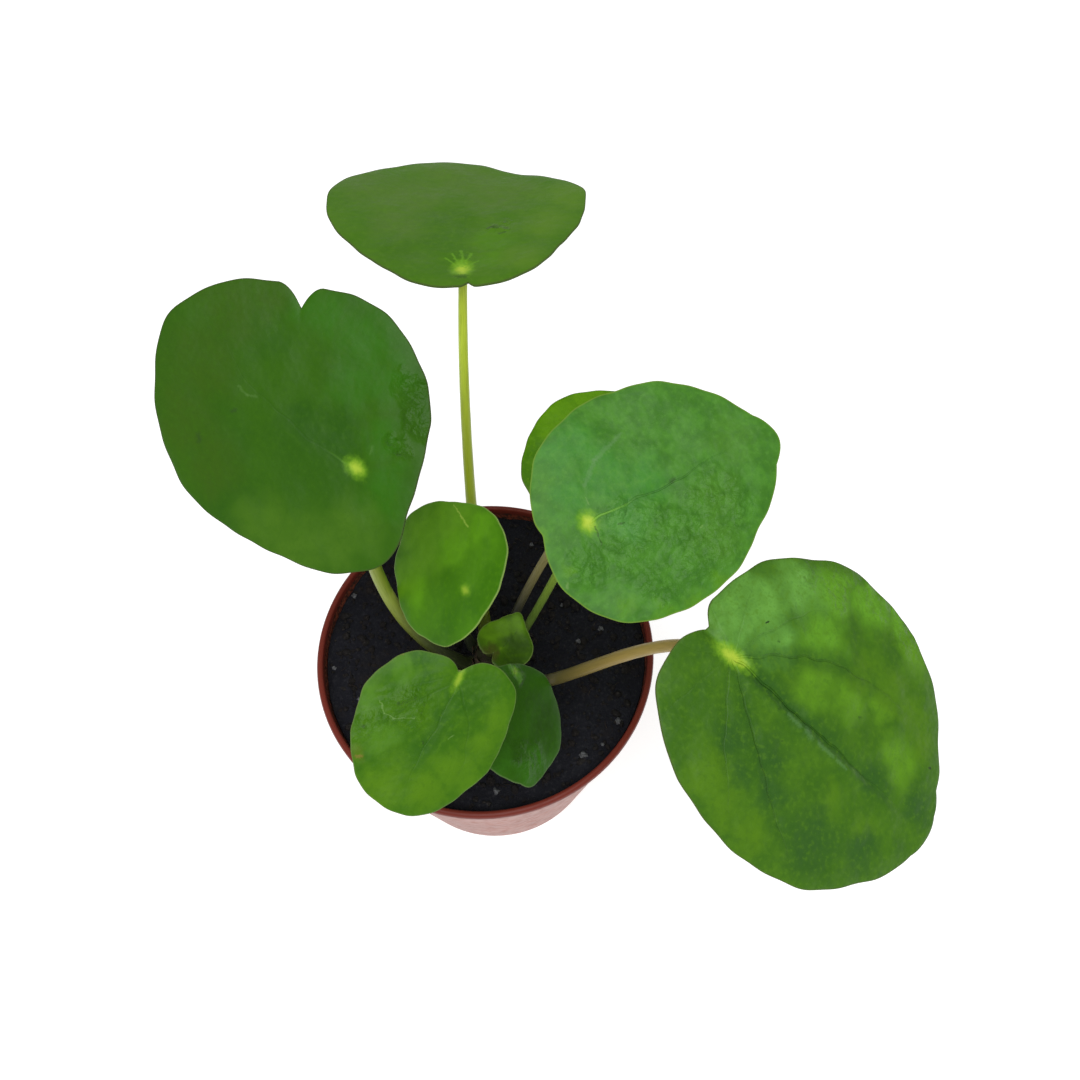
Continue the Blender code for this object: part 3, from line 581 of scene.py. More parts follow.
# How each leaf looks, all sizes in mm on the flat sheet from the seat, x to the tip and y to the left.
# cloud: size and share of the soft mottling between deep and fresh; bands: strength and half width of
# the dark vein bands; groove and pucker: how deep the veins lie and how uneven the face is; seat: half
# length, half width and strength of the pale seat; rays: strength and reach of the green rays round
# it; tones: colour, weight and soft round areas; rough: wrinkled areas; swells: raised areas with
# their rise; marks: two ends, half width and kind; midrib: angle, bend, late bend and strength; fan:
# strength of the side veins.
LOOKS = {
    "top": dict(
        deep=(0.0473, 0.147, 0.0023), fresh=(0.066, 0.167, 0.0069), cloud=(12.0, 0.6), bands=(0.15, 2.4),
        groove=0.4, pucker=0.3, seat=(2.4, 1.7, 0.9), rays=(0.3, 5.0), edge=(0.060, 0.085, 0.020),
        tones=(
            ((0.0781, 0.161, 0.0196), 0.85, ((30.5, 24.5, 8), (28.5, 13, 10), (37.5, 3, 9), (30, -4.5, 8),
                (16.5, 15.5, 7), (34, -3, 5), (33, -10, 5), (42, 8, 8))),
            ((0.0928, 0.200, 0.0118), 0.7, ((28.5, -20, 6), (17.5, -16, 6), (4, -12, 5))),
            ((0.0727, 0.209, 0.0026), 0.6, ((11, -5.5, 4), (4, -5, 3))),
            ((0.0389, 0.126, 0.0011), 0.6, ((18.5, 3.5, 6), (10, 7.5, 5), (5, 14, 5)))),
        rough=((16, -6, 1.8),), swells=(),
        marks=((34.9, -0.9, 34.3, -7.2, 0.25, 6), (15.7, -5.8, 15.9, -5.0, 0.45, 0),
               (13.9, -7.6, 13.2, -6.3, 0.3, 0), (1.0, 0.4, 5.0, 2.4, 0.30, 5),
               (1.2, 0.1, 6.4, 0.7, 0.34, 5), (1.2, -0.2, 5.6, -1.3, 0.30, 5),
               (1.0, 1.0, 3.4, 3.6, 0.26, 5), (0.8, -0.6, 3.0, -3.0, 0.24, 5),
               # The last mark, dark across the notch behind the seat, is a painted shadow where the blade
               # curves down past the seat.
               (-2.9, 0.8, -2.9, -0.8, 0.8, 0)), midrib=(4, 0.0, 0.0, 0.25), fan=0.08),
    "left": dict(
        deep=(0.0218, 0.0871, 0.0008), fresh=(0.0291, 0.103, 0.0008), cloud=(15.0, 0.7), bands=(0.25, 2.6),
        groove=0.25, pucker=0.15, seat=(2.0, 1.4, 0.75), rays=(0.45, 9.0), edge=(0.040, 0.062, 0.012),
        tones=(
            # This paler, bluer tone over the lower part of the leaf is a painted sheen.
            ((0.0545, 0.143, 0.0058), 0.85, ((-6, 9.5, 6), (0, 20, 7), (9, 22, 6), (-4, 15, 6))),
            ((0.0333, 0.0911, 0.0017), 0.85, ((37, 3, 9), (37, -8, 7), (34.5, 14.5, 8), (33, -16, 5),
                (24, 18, 7))),
            ((0.026, 0.126, 0.001), 0.85, ((-7.5, -0.5, 5), (-1.5, -7, 4), (4.5, -17, 5), (12, -20, 7),
                (22, -19, 5), (9, -12, 5))),
            ((0.0155, 0.0737, 0.0008), 0.7, ((7, -3.5, 5), (14, -1.5, 4)))),
        rough=((-0.5, -18, 3), (-5, -14, 2.5), (-5, -7.5, 2)), swells=(),
        marks=((29.8, 15.3, 29.2, 16.0, 0.6, 0), (26.0, 6.4, 26.4, 6.9, 0.4, 0),
               (28.0, 2.2, 25.6, 2.5, 0.3, 6), (25.6, 2.5, 23.8, 1.6, 0.3, 6),
               (-0.9, -4.0, -0.4, -5.2, 0.3, 6)), midrib=(8, 0.0, -0.0002, 0.35), fan=0.04),
    "inner": dict(
        deep=(0.0414, 0.148, 0.0011), fresh=(0.069, 0.209, 0.0044), cloud=(12.0, 0.6), bands=(0.1, 1.6),
        groove=0.3, pucker=0.15, seat=(1.5, 1.1, 0.55), rays=(0.3, 3.5), edge=(0.28, 0.38, 0.10),
        # The pale tones toward the tip and the dark tone behind the seat are partly the leaf's own colour
        # and partly painted light and shade: brighter at its upper end, darker at its lower end.
        tones=(
            ((0.144, 0.341, 0.0114), 0.65, ((16.5, -8, 7), (15, 3, 6), (15.5, 9.5, 6), (21, 0, 6))),
            ((0.115, 0.317, 0.005), 0.8, ((7.5, -11.5, 4), (9, 10, 4), (10, -4, 4))),
            ((0.0321, 0.128, 0.001), 0.7, ((-4, 0, 4), (-2.5, 7.5, 4), (-4, -5, 4)))),
        rough=(), swells=(),
        marks=((17.8, -10.4, 14.0, -10.1, 0.14, 7), (14.0, -10.1, 10.6, -9.7, 0.22, 7)),
        midrib=(2, 0.0, 0.0, 0.12), fan=0.05),
    "front": dict(
        deep=(0.0315, 0.120, 0.0009), fresh=(0.0556, 0.158, 0.0019), cloud=(7.0, 0.6), bands=(0.8, 2.6),
        groove=0.5, pucker=0.45, seat=(2.6, 0.8, 0.5), rays=(0.1, 3.0), edge=(0.13, 0.20, 0.05),
        tones=(
            ((0.0862, 0.207, 0.0032), 0.75, ((17.5, 7.5, 4), (18.5, 12, 3), (9.5, 11, 4), (25.5, -4, 4),
                (23.5, 4, 4), (4, 12, 3))),
            # This paler, bluer tone is a painted sheen.
            ((0.0754, 0.205, 0.0108), 0.75, ((12, -13.5, 3), (2.5, -10.5, 3), (17, -8, 3))),
            ((0.0254, 0.104, 0.0009), 0.7, ((14, 1, 3), (3, 5, 3), (9.5, 1, 3), (-1, -8, 2.5),
                (2.5, -6.5, 2))),
            ((0.0893, 0.150, 0.0019), 0.6, ((22.5, -10.5, 2.0),))),
        rough=((9, -7, 4), (16, -11, 3)), swells=(),
        marks=((10.6, -12.1, 12.5, -10.1, 0.12, 1), (12.5, -10.1, 12.5, -7.9, 0.12, 1),
               (12.5, -7.9, 10.9, -4.4, 0.08, 1), (11.7, 4.0, 10.4, 4.6, 0.12, 1),
               (21.9, -10.1, 22.3, -11.0, 0.35, 2), (0.4, -12.4, 0.7, -13.4, 0.2, 2),
               (16.4, -12.8, 16.6, -12.4, 0.3, 0), (9.5, -8.8, 9.7, -8.5, 0.25, 0),
               (14.4, -0.5, 14.6, -0.3, 0.25, 0)), midrib=(2, 0.0, 0.0, 0.6), fan=0.5),
    "shaded": dict(
        deep=(0.0189, 0.0707, 0.0022), fresh=(0.0252, 0.0978, 0.0022), cloud=(8.0, 0.6), bands=(0.1, 1.6),
        groove=0.3, pucker=0.2, seat=(1.0, 0.9, 0.3), rays=(0.1, 3.0), edge=(0.10, 0.16, 0.05),
        tones=(
            ((0.0311, 0.128, 0.005), 0.8, ((20, 6, 3), (23.5, 3, 3), (21.5, -2.5, 3))),
            ((0.114, 0.279, 0.0376), 0.7, ((0.2, 0.6, 1.5), (-0.5, -1.0, 1.2))),
            ((0.0146, 0.0532, 0.001), 0.7, ((13, 9, 4), (8, 8, 4)))),
        rough=((0, 0, 2.5), (20, 4, 4)), swells=(),
        marks=((17.9, 3.7, 23.0, 3.9, 0.22, 6), (16.2, 1.2, 21.7, 5.2, 0.10, 6),
               (-0.4, -1.8, 0.4, 2.4, 0.4, 6)), midrib=(4, 0.0, 0.0, 0.2), fan=0.1),
    "young": dict(
        deep=(0.0300, 0.0769, 0.0010), fresh=(0.0620, 0.1496, 0.0019), cloud=(4.0, 0.5), bands=(0.1, 0.8),
        groove=0.4, pucker=0.15, seat=(0.5, 0.5, 0.15), rays=(0.1, 1.5), edge=(0.17, 0.24, 0.06),
        # The bright tone on the leaf's left half and the dark tone on its right half are painted light and
        # shade, one on each side of the fold along the midrib.
        tones=(
            ((0.131, 0.284, 0.0060), 1.0, ((3.5, 3.5, 4), (7.5, 0.5, 3), (0.5, 4.5, 3))),
            ((0.025, 0.065, 0.0010), 0.85, ((3.5, -3.5, 3), (0, -3.5, 3))),
            ((0.073, 0.057, 0.0143), 0.75, ((-3, 1.8, 2.2), (-1.5, 0.8, 1.0)))),
        rough=(), swells=(), marks=((0.9, -0.3, 5.8, -0.7, 0.10, 0),), midrib=(-4, 0.0, 0.0, 0.2), fan=0.05),
    "hidden": dict(
        deep=(0.06, 0.177, 0.0009), fresh=(0.096, 0.241, 0.0018), cloud=(7.0, 0.6), bands=(0.2, 1.6),
        groove=0.4, pucker=0.4, seat=(1.8, 1.6, 0.7), rays=(0.2, 4.0), edge=(0.10, 0.14, 0.02),
        tones=(
            ((0.120, 0.293, 0.0021), 0.6, ((14, 17, 4), (20.5, 15.5, 4), (8, 17, 3))),
            ((0.0469, 0.159, 0.0008), 0.6, ((-3.5, 12, 3), (1.5, 14.5, 3)))),
        rough=(), swells=(), marks=((-6.0, 8.0, -5.8, 8.3, 0.3, 0),), midrib=(0, 0.0, 0.0, 0.4), fan=0.3),
    "upper_right": dict(
        deep=(0.0421, 0.154, 0.0117), fresh=(0.0606, 0.205, 0.0174), cloud=(4.0, 0.9), bands=(0.3, 1.8),
        groove=0.7, pucker=0.6, seat=(1.6, 1.8, 1.0), rays=(0.8, 12.0), edge=(0.17, 0.27, 0.035),
        tones=(
            ((0.044, 0.227, 0.0252), 0.5, ((6.5, 8, 6), (-1, 6.5, 4), (13, 3, 5), (-1, 14, 4),
                (4, 15.5, 5))),
            ((0.0818, 0.265, 0.0524), 0.55, ((7.5, -3, 4),)),
            ((0.0891, 0.252, 0.0052), 0.6, ((6, -22, 2.5), (13, -23, 2.5), (19.5, -21, 2.5), (0, -17, 2.0),
                (-7.5, -6, 1.5), (-9, 2, 1.5))),
            ((0.0626, 0.184, 0.0147), 0.7, ((32.5, 3.5, 5), (25, -6, 5), (22, -12, 5)))),
        rough=((11, -6, 5), (5, -8, 5), (20.5, -12, 5), (16.5, -7.5, 4), (16.5, -14.5, 5), (28, -9.5, 4),
               (-4, -7, 4), (6.5, 0, 2.5), (8, -16.5, 4), (24, -5, 4)), swells=((2, 12, 9, 0.5),),
        # The two marks of kind 4 are a painted highlight along a raised fold on the leaf's left half.
        marks=((1.6, 4.5, 1.6, 3.1, 0.14, 1), (2.3, 6.8, 6.1, 10.3, 0.55, 4),
               (6.1, 10.3, 12.9, 13.2, 0.5, 4), (0.9, -1.2, 0.6, -5.0, 0.16, 0),
               (-8.7, -9.8, -8.3, -9.2, 0.3, 1), (0.6, -4.8, 0.4, -5.6, 0.18, 6),
               (18.2, 0.6, 18.9, 1.0, 0.4, 0), (5.4, -2.6, 6.4, -2.9, 0.2, 0),
               (20.0, -9.6, 20.3, -9.3, 0.16, 1)), midrib=(0, 0.002, 0.0, 0.9), fan=0.10),
    "lower_right": dict(
        deep=(0.035, 0.115, 0.0042), fresh=(0.0577, 0.158, 0.0053), cloud=(9.0, 0.6), bands=(1.0, 4.0),
        groove=1.3, pucker=0.6, seat=(4.0, 1.6, 1.0), rays=(0.1, 8.0), edge=(0.065, 0.100, 0.015),
        tones=(
            ((0.1124, 0.302, 0.0153), 0.95, ((15.5, 26.5, 6), (24.5, 30.5, 6), (16, 16.5, 6), (33, 31, 4))),
            # This pale, bluish tone on the raised upper-left lobe is a painted sheen.
            ((0.129, 0.331, 0.0479), 1.0, ((-0.5, 12.5, 8), (5.5, 9, 6), (-2, 6, 5), (-8, 9.5, 6),
                (-6, 15, 5), (6.5, 22, 6))),
            ((0.0973, 0.248, 0.0081), 1.0, ((19, 5.5, 5), (28, 7.5, 5), (45.5, 4, 6), (39.5, 26.5, 5),
                (36, 12, 3))),
            ((0.0735, 0.183, 0.0037), 0.95, ((7.5, -22, 5), (20.5, -26.5, 4), (13, -25.5, 4), (44, 14.5, 4),
                (28, 15, 4), (37, 16, 5), (50.5, 11, 4), (34, -12, 3), (44, -13, 3))),
            ((0.028, 0.095, 0.010), 0.95, ((17.5, -11, 4), (21, -17.5, 4), (33.5, -21, 7), (46, -17.5, 5),
                (13, -18, 3), (41.5, -3, 4), (8, -13.5, 4), (54, -2, 4)))),
        rough=((14.5, 28.5, 5), (24.5, 33, 5), (35.5, 30, 5), (7, 25.5, 4)),
        swells=((3, 14, 9, 0.9), (24, 7, 7, 0.35), (36, 20, 7, 0.35), (10, -20, 7, 0.3)),
        marks=((2.6, 10.0, 3.0, 10.5, 0.22, 3), (53.9, 7.4, 54.0, 7.5, 0.3, 3),
               (13.7, -3.2, 13.9, -3.0, 0.25, 0), (17.8, -8.1, 18.0, -8.0, 0.2, 0),
               (31.8, 6.2, 32.3, 6.4, 0.25, 0), (7.1, 8.4, 7.4, 8.5, 0.25, 0),
               # The four marks of kind 4 along the midrib are a painted highlight on the lit side of its
               # ridge.
               (16.5, -2.9, 19.5, -3.3, 0.6, 4), (21.5, -3.4, 23.0, -3.9, 0.7, 4),
               (25.5, -3.9, 29.5, -4.4, 0.55, 4), (31.0, -4.5, 33.5, -4.9, 0.4, 4)),
        midrib=(-5.2, 0.0, 0.0, 1.0), fan=0.8),
}
# dark speck, pale scratch, brown scar, black speck, painted highlight along a fold, bright green ray,
# faint pale mark, bright yellow-green scratch: colour and weight
MARK_KINDS = (((0.022, 0.060, 0.008, 1), 0.6), ((0.22, 0.36, 0.11, 1), 0.34),
              ((0.24, 0.15, 0.035, 1), 0.55), ((0.006, 0.010, 0.005, 1), 0.9),
              ((0.110, 0.235, 0.080, 1), 0.4), ((0.135, 0.330, 0.018, 1), 0.55),
              ((0.11, 0.22, 0.055, 1), 0.22), ((0.34, 0.50, 0.07, 1), 0.65))
SEAT_YELLOW = (0.40, 0.54, 0.045, 1)
SEAT_GREEN = (0.16, 0.36, 0.012, 1)
RAY_GREEN = (0.15, 0.36, 0.035, 1)
UNDER_GREEN = (0.135, 0.260, 0.060, 1)
RIB_GREEN = (0.25, 0.35, 0.12, 1)
MIDRIB_FOLD = {"lower_right": 0.32, "upper_right": 0.10}
BACK_FOLD = {"lower_right": 1.1}


def blade_axes(leaf):
    """The sheet's normal, the way to its tip and the way across, as unit vectors."""
    tilt, lean, head = (math.radians(leaf[key]) for key in ("tilt", "toward", "heading"))
    normal = Vector((math.sin(tilt) * math.cos(lean), math.sin(tilt) * math.sin(lean), math.cos(tilt)))
    ahead = Vector((math.cos(head), math.sin(head), 0.0))
    ahead = (ahead - normal * ahead.dot(normal)).normalized()
    return normal, ahead, normal.cross(ahead)


def outline(leaf, turn):
    """Reach of the outline in mm at each turn in radians, smooth through the listed reaches."""
    listed = np.array(leaf["reach"], float)
    degrees = np.degrees(turn) % 360.0
    place = degrees / (360.0 / len(listed))
    i = place.astype(int) % len(listed)
    f = place - np.floor(place)
    r0, r1, r2, r3 = (listed[(i + k) % len(listed)] for k in (-1, 0, 1, 2))
    reach = r1 + 0.5 * f * (r2 - r0 + f * (2 * r0 - 5 * r1 + 4 * r2 - r3 + f * (3 * (r1 - r2) + r3 - r0)))
    for angle, depth, half in leaf["edges"]:
        off = np.clip(np.abs((degrees - angle + 180.0) % 360.0 - 180.0) / half, 0, 1)
        reach -= depth * (1 - off) ** 1.9 if depth > 0 else depth * (1 - off * off)
    return reach


def vein_plan(leaf, look):
    """The veins that fan out from the seat: angle, bend, late bend, length in mm and strength."""
    grow = leaf["reach"][0] / 37.5
    angle, bend, late, strength = look["midrib"]
    fan = look["fan"]
    reach = leaf["middle"] + leaf["reach"][0]
    plan = [(angle, bend, late, reach * 0.98, strength)]
    for way in (1, -1):
        turn_back = -1.7e-4 if way == 1 else 0.2e-4
        plan.append((angle + 2 + way * 39, 0.0, turn_back / grow ** 2, reach * 0.86, 0.8 * fan))
        plan.append((angle + 3 + way * 72, -way * 0.009 / grow, 0.0, reach * 0.62, 0.45 * fan))
        plan.append((angle + way * 116, -way * 0.010 / grow, 0.0, reach * 0.42, 0.3 * fan))
        plan.append((angle + way * 152, 0.0, 0.0, reach * 0.28, 0.22 * fan))
    return plan


def closeness(x, y, at_x, at_y, across_mm):
    """1 at one place on the sheet, falling off softly over its size."""
    return np.exp(-(np.hypot(x - at_x, y - at_y) / across_mm) ** 2)


def blade_rise(name, leaf, look, plan, x, y, share, turn):
    """Height of each point over the sheet's plane in mm: bow, wave, veins, wrinkles and swellings."""
    along, across = leaf["bow"]
    height, count, phase = leaf["wave"]
    z = -along * x * x - across * y * y + height * share ** 3 * np.sin(count * turn + phase)
    size = leaf["reach"][0] / 30.0
    open_part = 1 - share ** 14
    for index, (angle, bend, late, length, strength) in enumerate(plan):
        a = math.radians(angle)
        u = x * math.cos(a) + y * math.sin(a)
        v = y * math.cos(a) - x * math.sin(a) - u * u * (bend + late * u)
        fade = np.clip(u / 3.0, 0, 1) * np.clip((length - u) / (0.5 * length), 0, 1)
        width = 0.75 + 0.6 * np.clip(1 - u / length, 0, 1)
        press = VEIN_PRESS * np.exp(-(v / width) ** 2) - VEIN_SHOULDER * np.exp(-(v / 4.0) ** 2)
        z = z - strength * fade * open_part * press * size * look["groove"]
        if index == 0:
            z = z + MIDRIB_FOLD.get(name, 0.0) * fade * open_part * np.exp(-((v + 1.7) / 1.0) ** 2)
    slow, middle, quick = (
        np.array([noise.noise(Vector((a * scale, b * scale, layer))) for a, b in zip(x, y)])
        for scale, layer in ((0.16, 2.0), (0.42, 5.0), (0.62, 8.0)))
    wrinkled = np.zeros(len(x))
    for spot in look["rough"]:
        wrinkled = np.maximum(wrinkled, closeness(x, y, *spot))
    swell = slow * 0.30 + middle * 0.12 * look["pucker"] + quick * (0.05 * look["pucker"] + 0.22 * wrinkled)
    for at_x, at_y, across_mm, rise in look["swells"]:
        swell = swell + rise * closeness(x, y, at_x, at_y, across_mm)
    z = z + swell * size * (0.35 + 0.65 * open_part) - SEAT_DIP * size * closeness(x, y, 0, 0, SEAT_SPREAD)
    fold = np.clip((-x - 1.0) / 5.0, 0, 1) * np.exp(-((y + 0.2 * x) / 1.3) ** 2)
    return z - BACK_FOLD.get(name, 0.0) * fold - MARGIN_DROP * share ** 16


def lay_blade(name, leaf, look, plan):
    """Lays a round sheet on the leaf's surface, presses its veins in, and gives it thickness."""
    spokes, rings = leaf["mesh"]
    piece, share, turn = dome("leaf_" + name, spokes, rings)
    scallop = sum(depth * np.sin(count * turn + phase) for count, depth, phase in SCALLOPS)
    reach = outline(leaf, turn) * (1 + scallop)
    x = leaf["middle"] + reach * share * np.cos(turn)
    y = reach * share * np.sin(turn)
    z = blade_rise(name, leaf, look, plan, x, y, share, turn)
    normal, ahead, side = (np.array(axis) for axis in blade_axes(leaf))
    at = (np.array(leaf["seat"]) + x[:, None] * ahead + y[:, None] * side + z[:, None] * normal) * MM
    sheet = piece.data
    sheet.vertices.foreach_set("co", at.ravel())
    sheet.attributes.new("edge", "FLOAT", "POINT").data.foreach_set("value", reach * (1 - share))
    corner = np.zeros(len(sheet.loops), int)
    sheet.loops.foreach_get("vertex_index", corner)
    while sheet.uv_layers:
        sheet.uv_layers.remove(sheet.uv_layers[0])
    flat = sheet.uv_layers.new(name="sheet")
    flat.data.foreach_set("uv", np.stack([x[corner] / 100 + 0.5, y[corner] / 100 + 0.5], -1).ravel())
    thick = piece.vertex_groups.new(name="thick")
    for index, s in enumerate(share):
        thick.add([index], float(1.0 - (1 - MARGIN_SHARE) * s ** 5), "REPLACE")
    clad(piece, blade_skin(name + "_upper_face", look, plan, False),
         blade_skin(name + "_underside", look, plan, True))
    finish_with(piece, "SOLIDIFY", thickness=BLADE_THICKNESS * MM, offset=-1.0, vertex_group="thick",
                material_offset=1, material_offset_rim=0)
    finish_with(piece, "BEVEL", width=RIM_ROUNDING * MM, segments=2, limit_method="ANGLE",
                angle_limit=math.radians(55))
    pick(piece)
    bpy.ops.object.shade_smooth()
    return piece


def vector(tree, operation, *values):
    """Vector arithmetic on nodes; gives the length, distance or dot product where that is asked for."""
    node = wire(tree, "VectorMath", dict(enumerate(values)), operation=operation)
    return node.outputs[1 if operation in ("LENGTH", "DISTANCE", "DOT_PRODUCT") else 0]


def warp(tree, place, stir, push):
    """Places pushed about by up to half the given mm, so that what is drawn there looks grown."""
    stirred = vector(tree, "SUBTRACT", stir, (0.5, 0.5, 0.5))
    return vector(tree, "MULTIPLY_ADD", stirred, (push, push, 0.0), place)


def stronger(tree, mask, other):
    return other if mask is None else calc(tree, "MAXIMUM", mask, other)


def vein_lines(tree, place, plan, width, reach):
    """Masks of the veins drawn on the flat sheet: their fine line, and a soft band along them."""
    line = band = None
    for angle, bend, late, length, strength in plan:
        a = math.radians(angle)
        u = vector(tree, "DOT_PRODUCT", place, (math.cos(a), math.sin(a), 0))
        v = vector(tree, "DOT_PRODUCT", place, (-math.sin(a), math.cos(a), 0))
        curve = times(tree, times(tree, u, u), calc(tree, "MULTIPLY_ADD", u, late, bend))
        off = calc(tree, "ABSOLUTE", calc(tree, "SUBTRACT", v, curve))
        fade = times(tree, step_between(tree, u, 0.0, 1.6, 0.0, strength),
                     step_between(tree, u, length * 0.35, length * 0.95, 1.0, 0.0))
        thin = step_between(tree, u, 0.0, length, width, width * 0.4)
        fine = step_between(tree, calc(tree, "DIVIDE", off, thin), 0.3, 1.0, 1.0, 0.0)
        line = stronger(tree, line, times(tree, fine, fade))
        band = stronger(tree, band, times(tree, step_between(tree, off, 0.0, reach, 1.0, 0.0), fade))
    return line, band


def areas(tree, place, spots):
    """One mask with a soft round area at each (x, y, size) in mm."""
    mask = None
    for x, y, size in spots:
        far = vector(tree, "DISTANCE", place, (x, y, 0))
        mask = stronger(tree, mask, step_between(tree, far, size * 0.3, size * 1.5, 1.0, 0.0))
    return mask


def leaf_green(tree, look, place, drawn, ragged):
    """Soft mottling between two greens, with the leaf's own areas of other tones laid over it."""
    deep, fresh = look["deep"], look["fresh"]
    size, share = look["cloud"]
    broad = speckle(tree, place, 1.0 / size, 2.0, 0.45)
    mottle = step_between(tree, broad, 0.36, 0.64, 0.5 - 0.5 * share, 0.5 + 0.5 * share)
    colour = tint(tree, mottle, (*deep, 1), (*fresh, 1))
    for paint, weight, spots in look["tones"]:
        painted = times(tree, areas(tree, drawn, spots), times(tree, ragged, weight))
        colour = tint(tree, painted, colour, (*paint, 1))
    return colour


def freckles(tree, look, place, colour, shadow):
    """Small dark and light freckles, fainter on a smooth leaf than on a puckered one."""
    fresh = look["fresh"]
    lit = (fresh[0] * 1.35, fresh[1] * 1.22, fresh[2] * 1.5, 1)
    grain = speckle(tree, place, 0.8, 2.5, 0.55)
    weight = 0.14 + 0.36 * look["pucker"]
    colour = tint(tree, step_between(tree, grain, 0.50, 0.68, 0.0, 0.65 * weight), colour, shadow)
    return tint(tree, step_between(tree, grain, 0.48, 0.32, 0.0, weight), colour, lit)


def seat_and_rays(tree, look, place, line, colour):
    """Dark lines far out along the veins, green rays near the seat, and the pale yellow seat."""
    deep = look["deep"]
    far = vector(tree, "LENGTH", place)
    weight, reach = look["rays"]
    dark_line = times(tree, line, step_between(tree, far, reach * 0.5, reach * 1.2, 0.0, 0.34))
    colour = tint(tree, dark_line, colour, (deep[0] * 0.55, deep[1] * 0.62, deep[2], 1))
    ray = times(tree, line, step_between(tree, far, reach * 0.2, reach, weight, 0.0))
    colour = tint(tree, ray, colour, RAY_GREEN)
    long, wide, seat_weight = look["seat"]
    torn = calc(tree, "MULTIPLY_ADD", speckle(tree, place, 0.8, 3.0, 0.6), 1.1, -0.55)
    off = vector(tree, "LENGTH", vector(tree, "MULTIPLY", place, (1.0 / long, 1.0 / wide, 0)))
    off = calc(tree, "ADD", off, torn)
    colour = tint(tree, step_between(tree, off, 0.6, 1.8, 0.85 * seat_weight, 0.0), colour, SEAT_GREEN)
    return tint(tree, step_between(tree, off, 0.1, 1.15, 0.95 * seat_weight, 0.0), colour, SEAT_YELLOW)


def scratch(tree, place, jagged, mark, colour):
    """One mark, drawn as a ragged line between two ends: a speck, a scratch, a streak, a painted highlight,
    a painted shadow.
    """
    x0, y0, x1, y1, half, kind = mark
    length = math.hypot(x1 - x0, y1 - y0)
    way = ((x1 - x0) / length, (y1 - y0) / length, 0)
    back = vector(tree, "SUBTRACT", jagged, (x0, y0, 0))
    held = wire(tree, "Clamp", {0: vector(tree, "DOT_PRODUCT", back, way), 1: 0.0, 2: length}).outputs[0]
    nearest = wire(tree, "VectorMath", {0: way, "Scale": held}, operation="SCALE").outputs[0]
    off = calc(tree, "SUBTRACT", vector(tree, "DISTANCE", back, nearest), half * 1.2)
    uneven = calc(tree, "MULTIPLY_ADD", speckle(tree, place, 2.5, 2.0), half * 2.4, off)
    paint, weight = MARK_KINDS[kind]
    return tint(tree, step_between(tree, uneven, half * 0.1, half * 1.5, weight, 0.0), colour, paint)


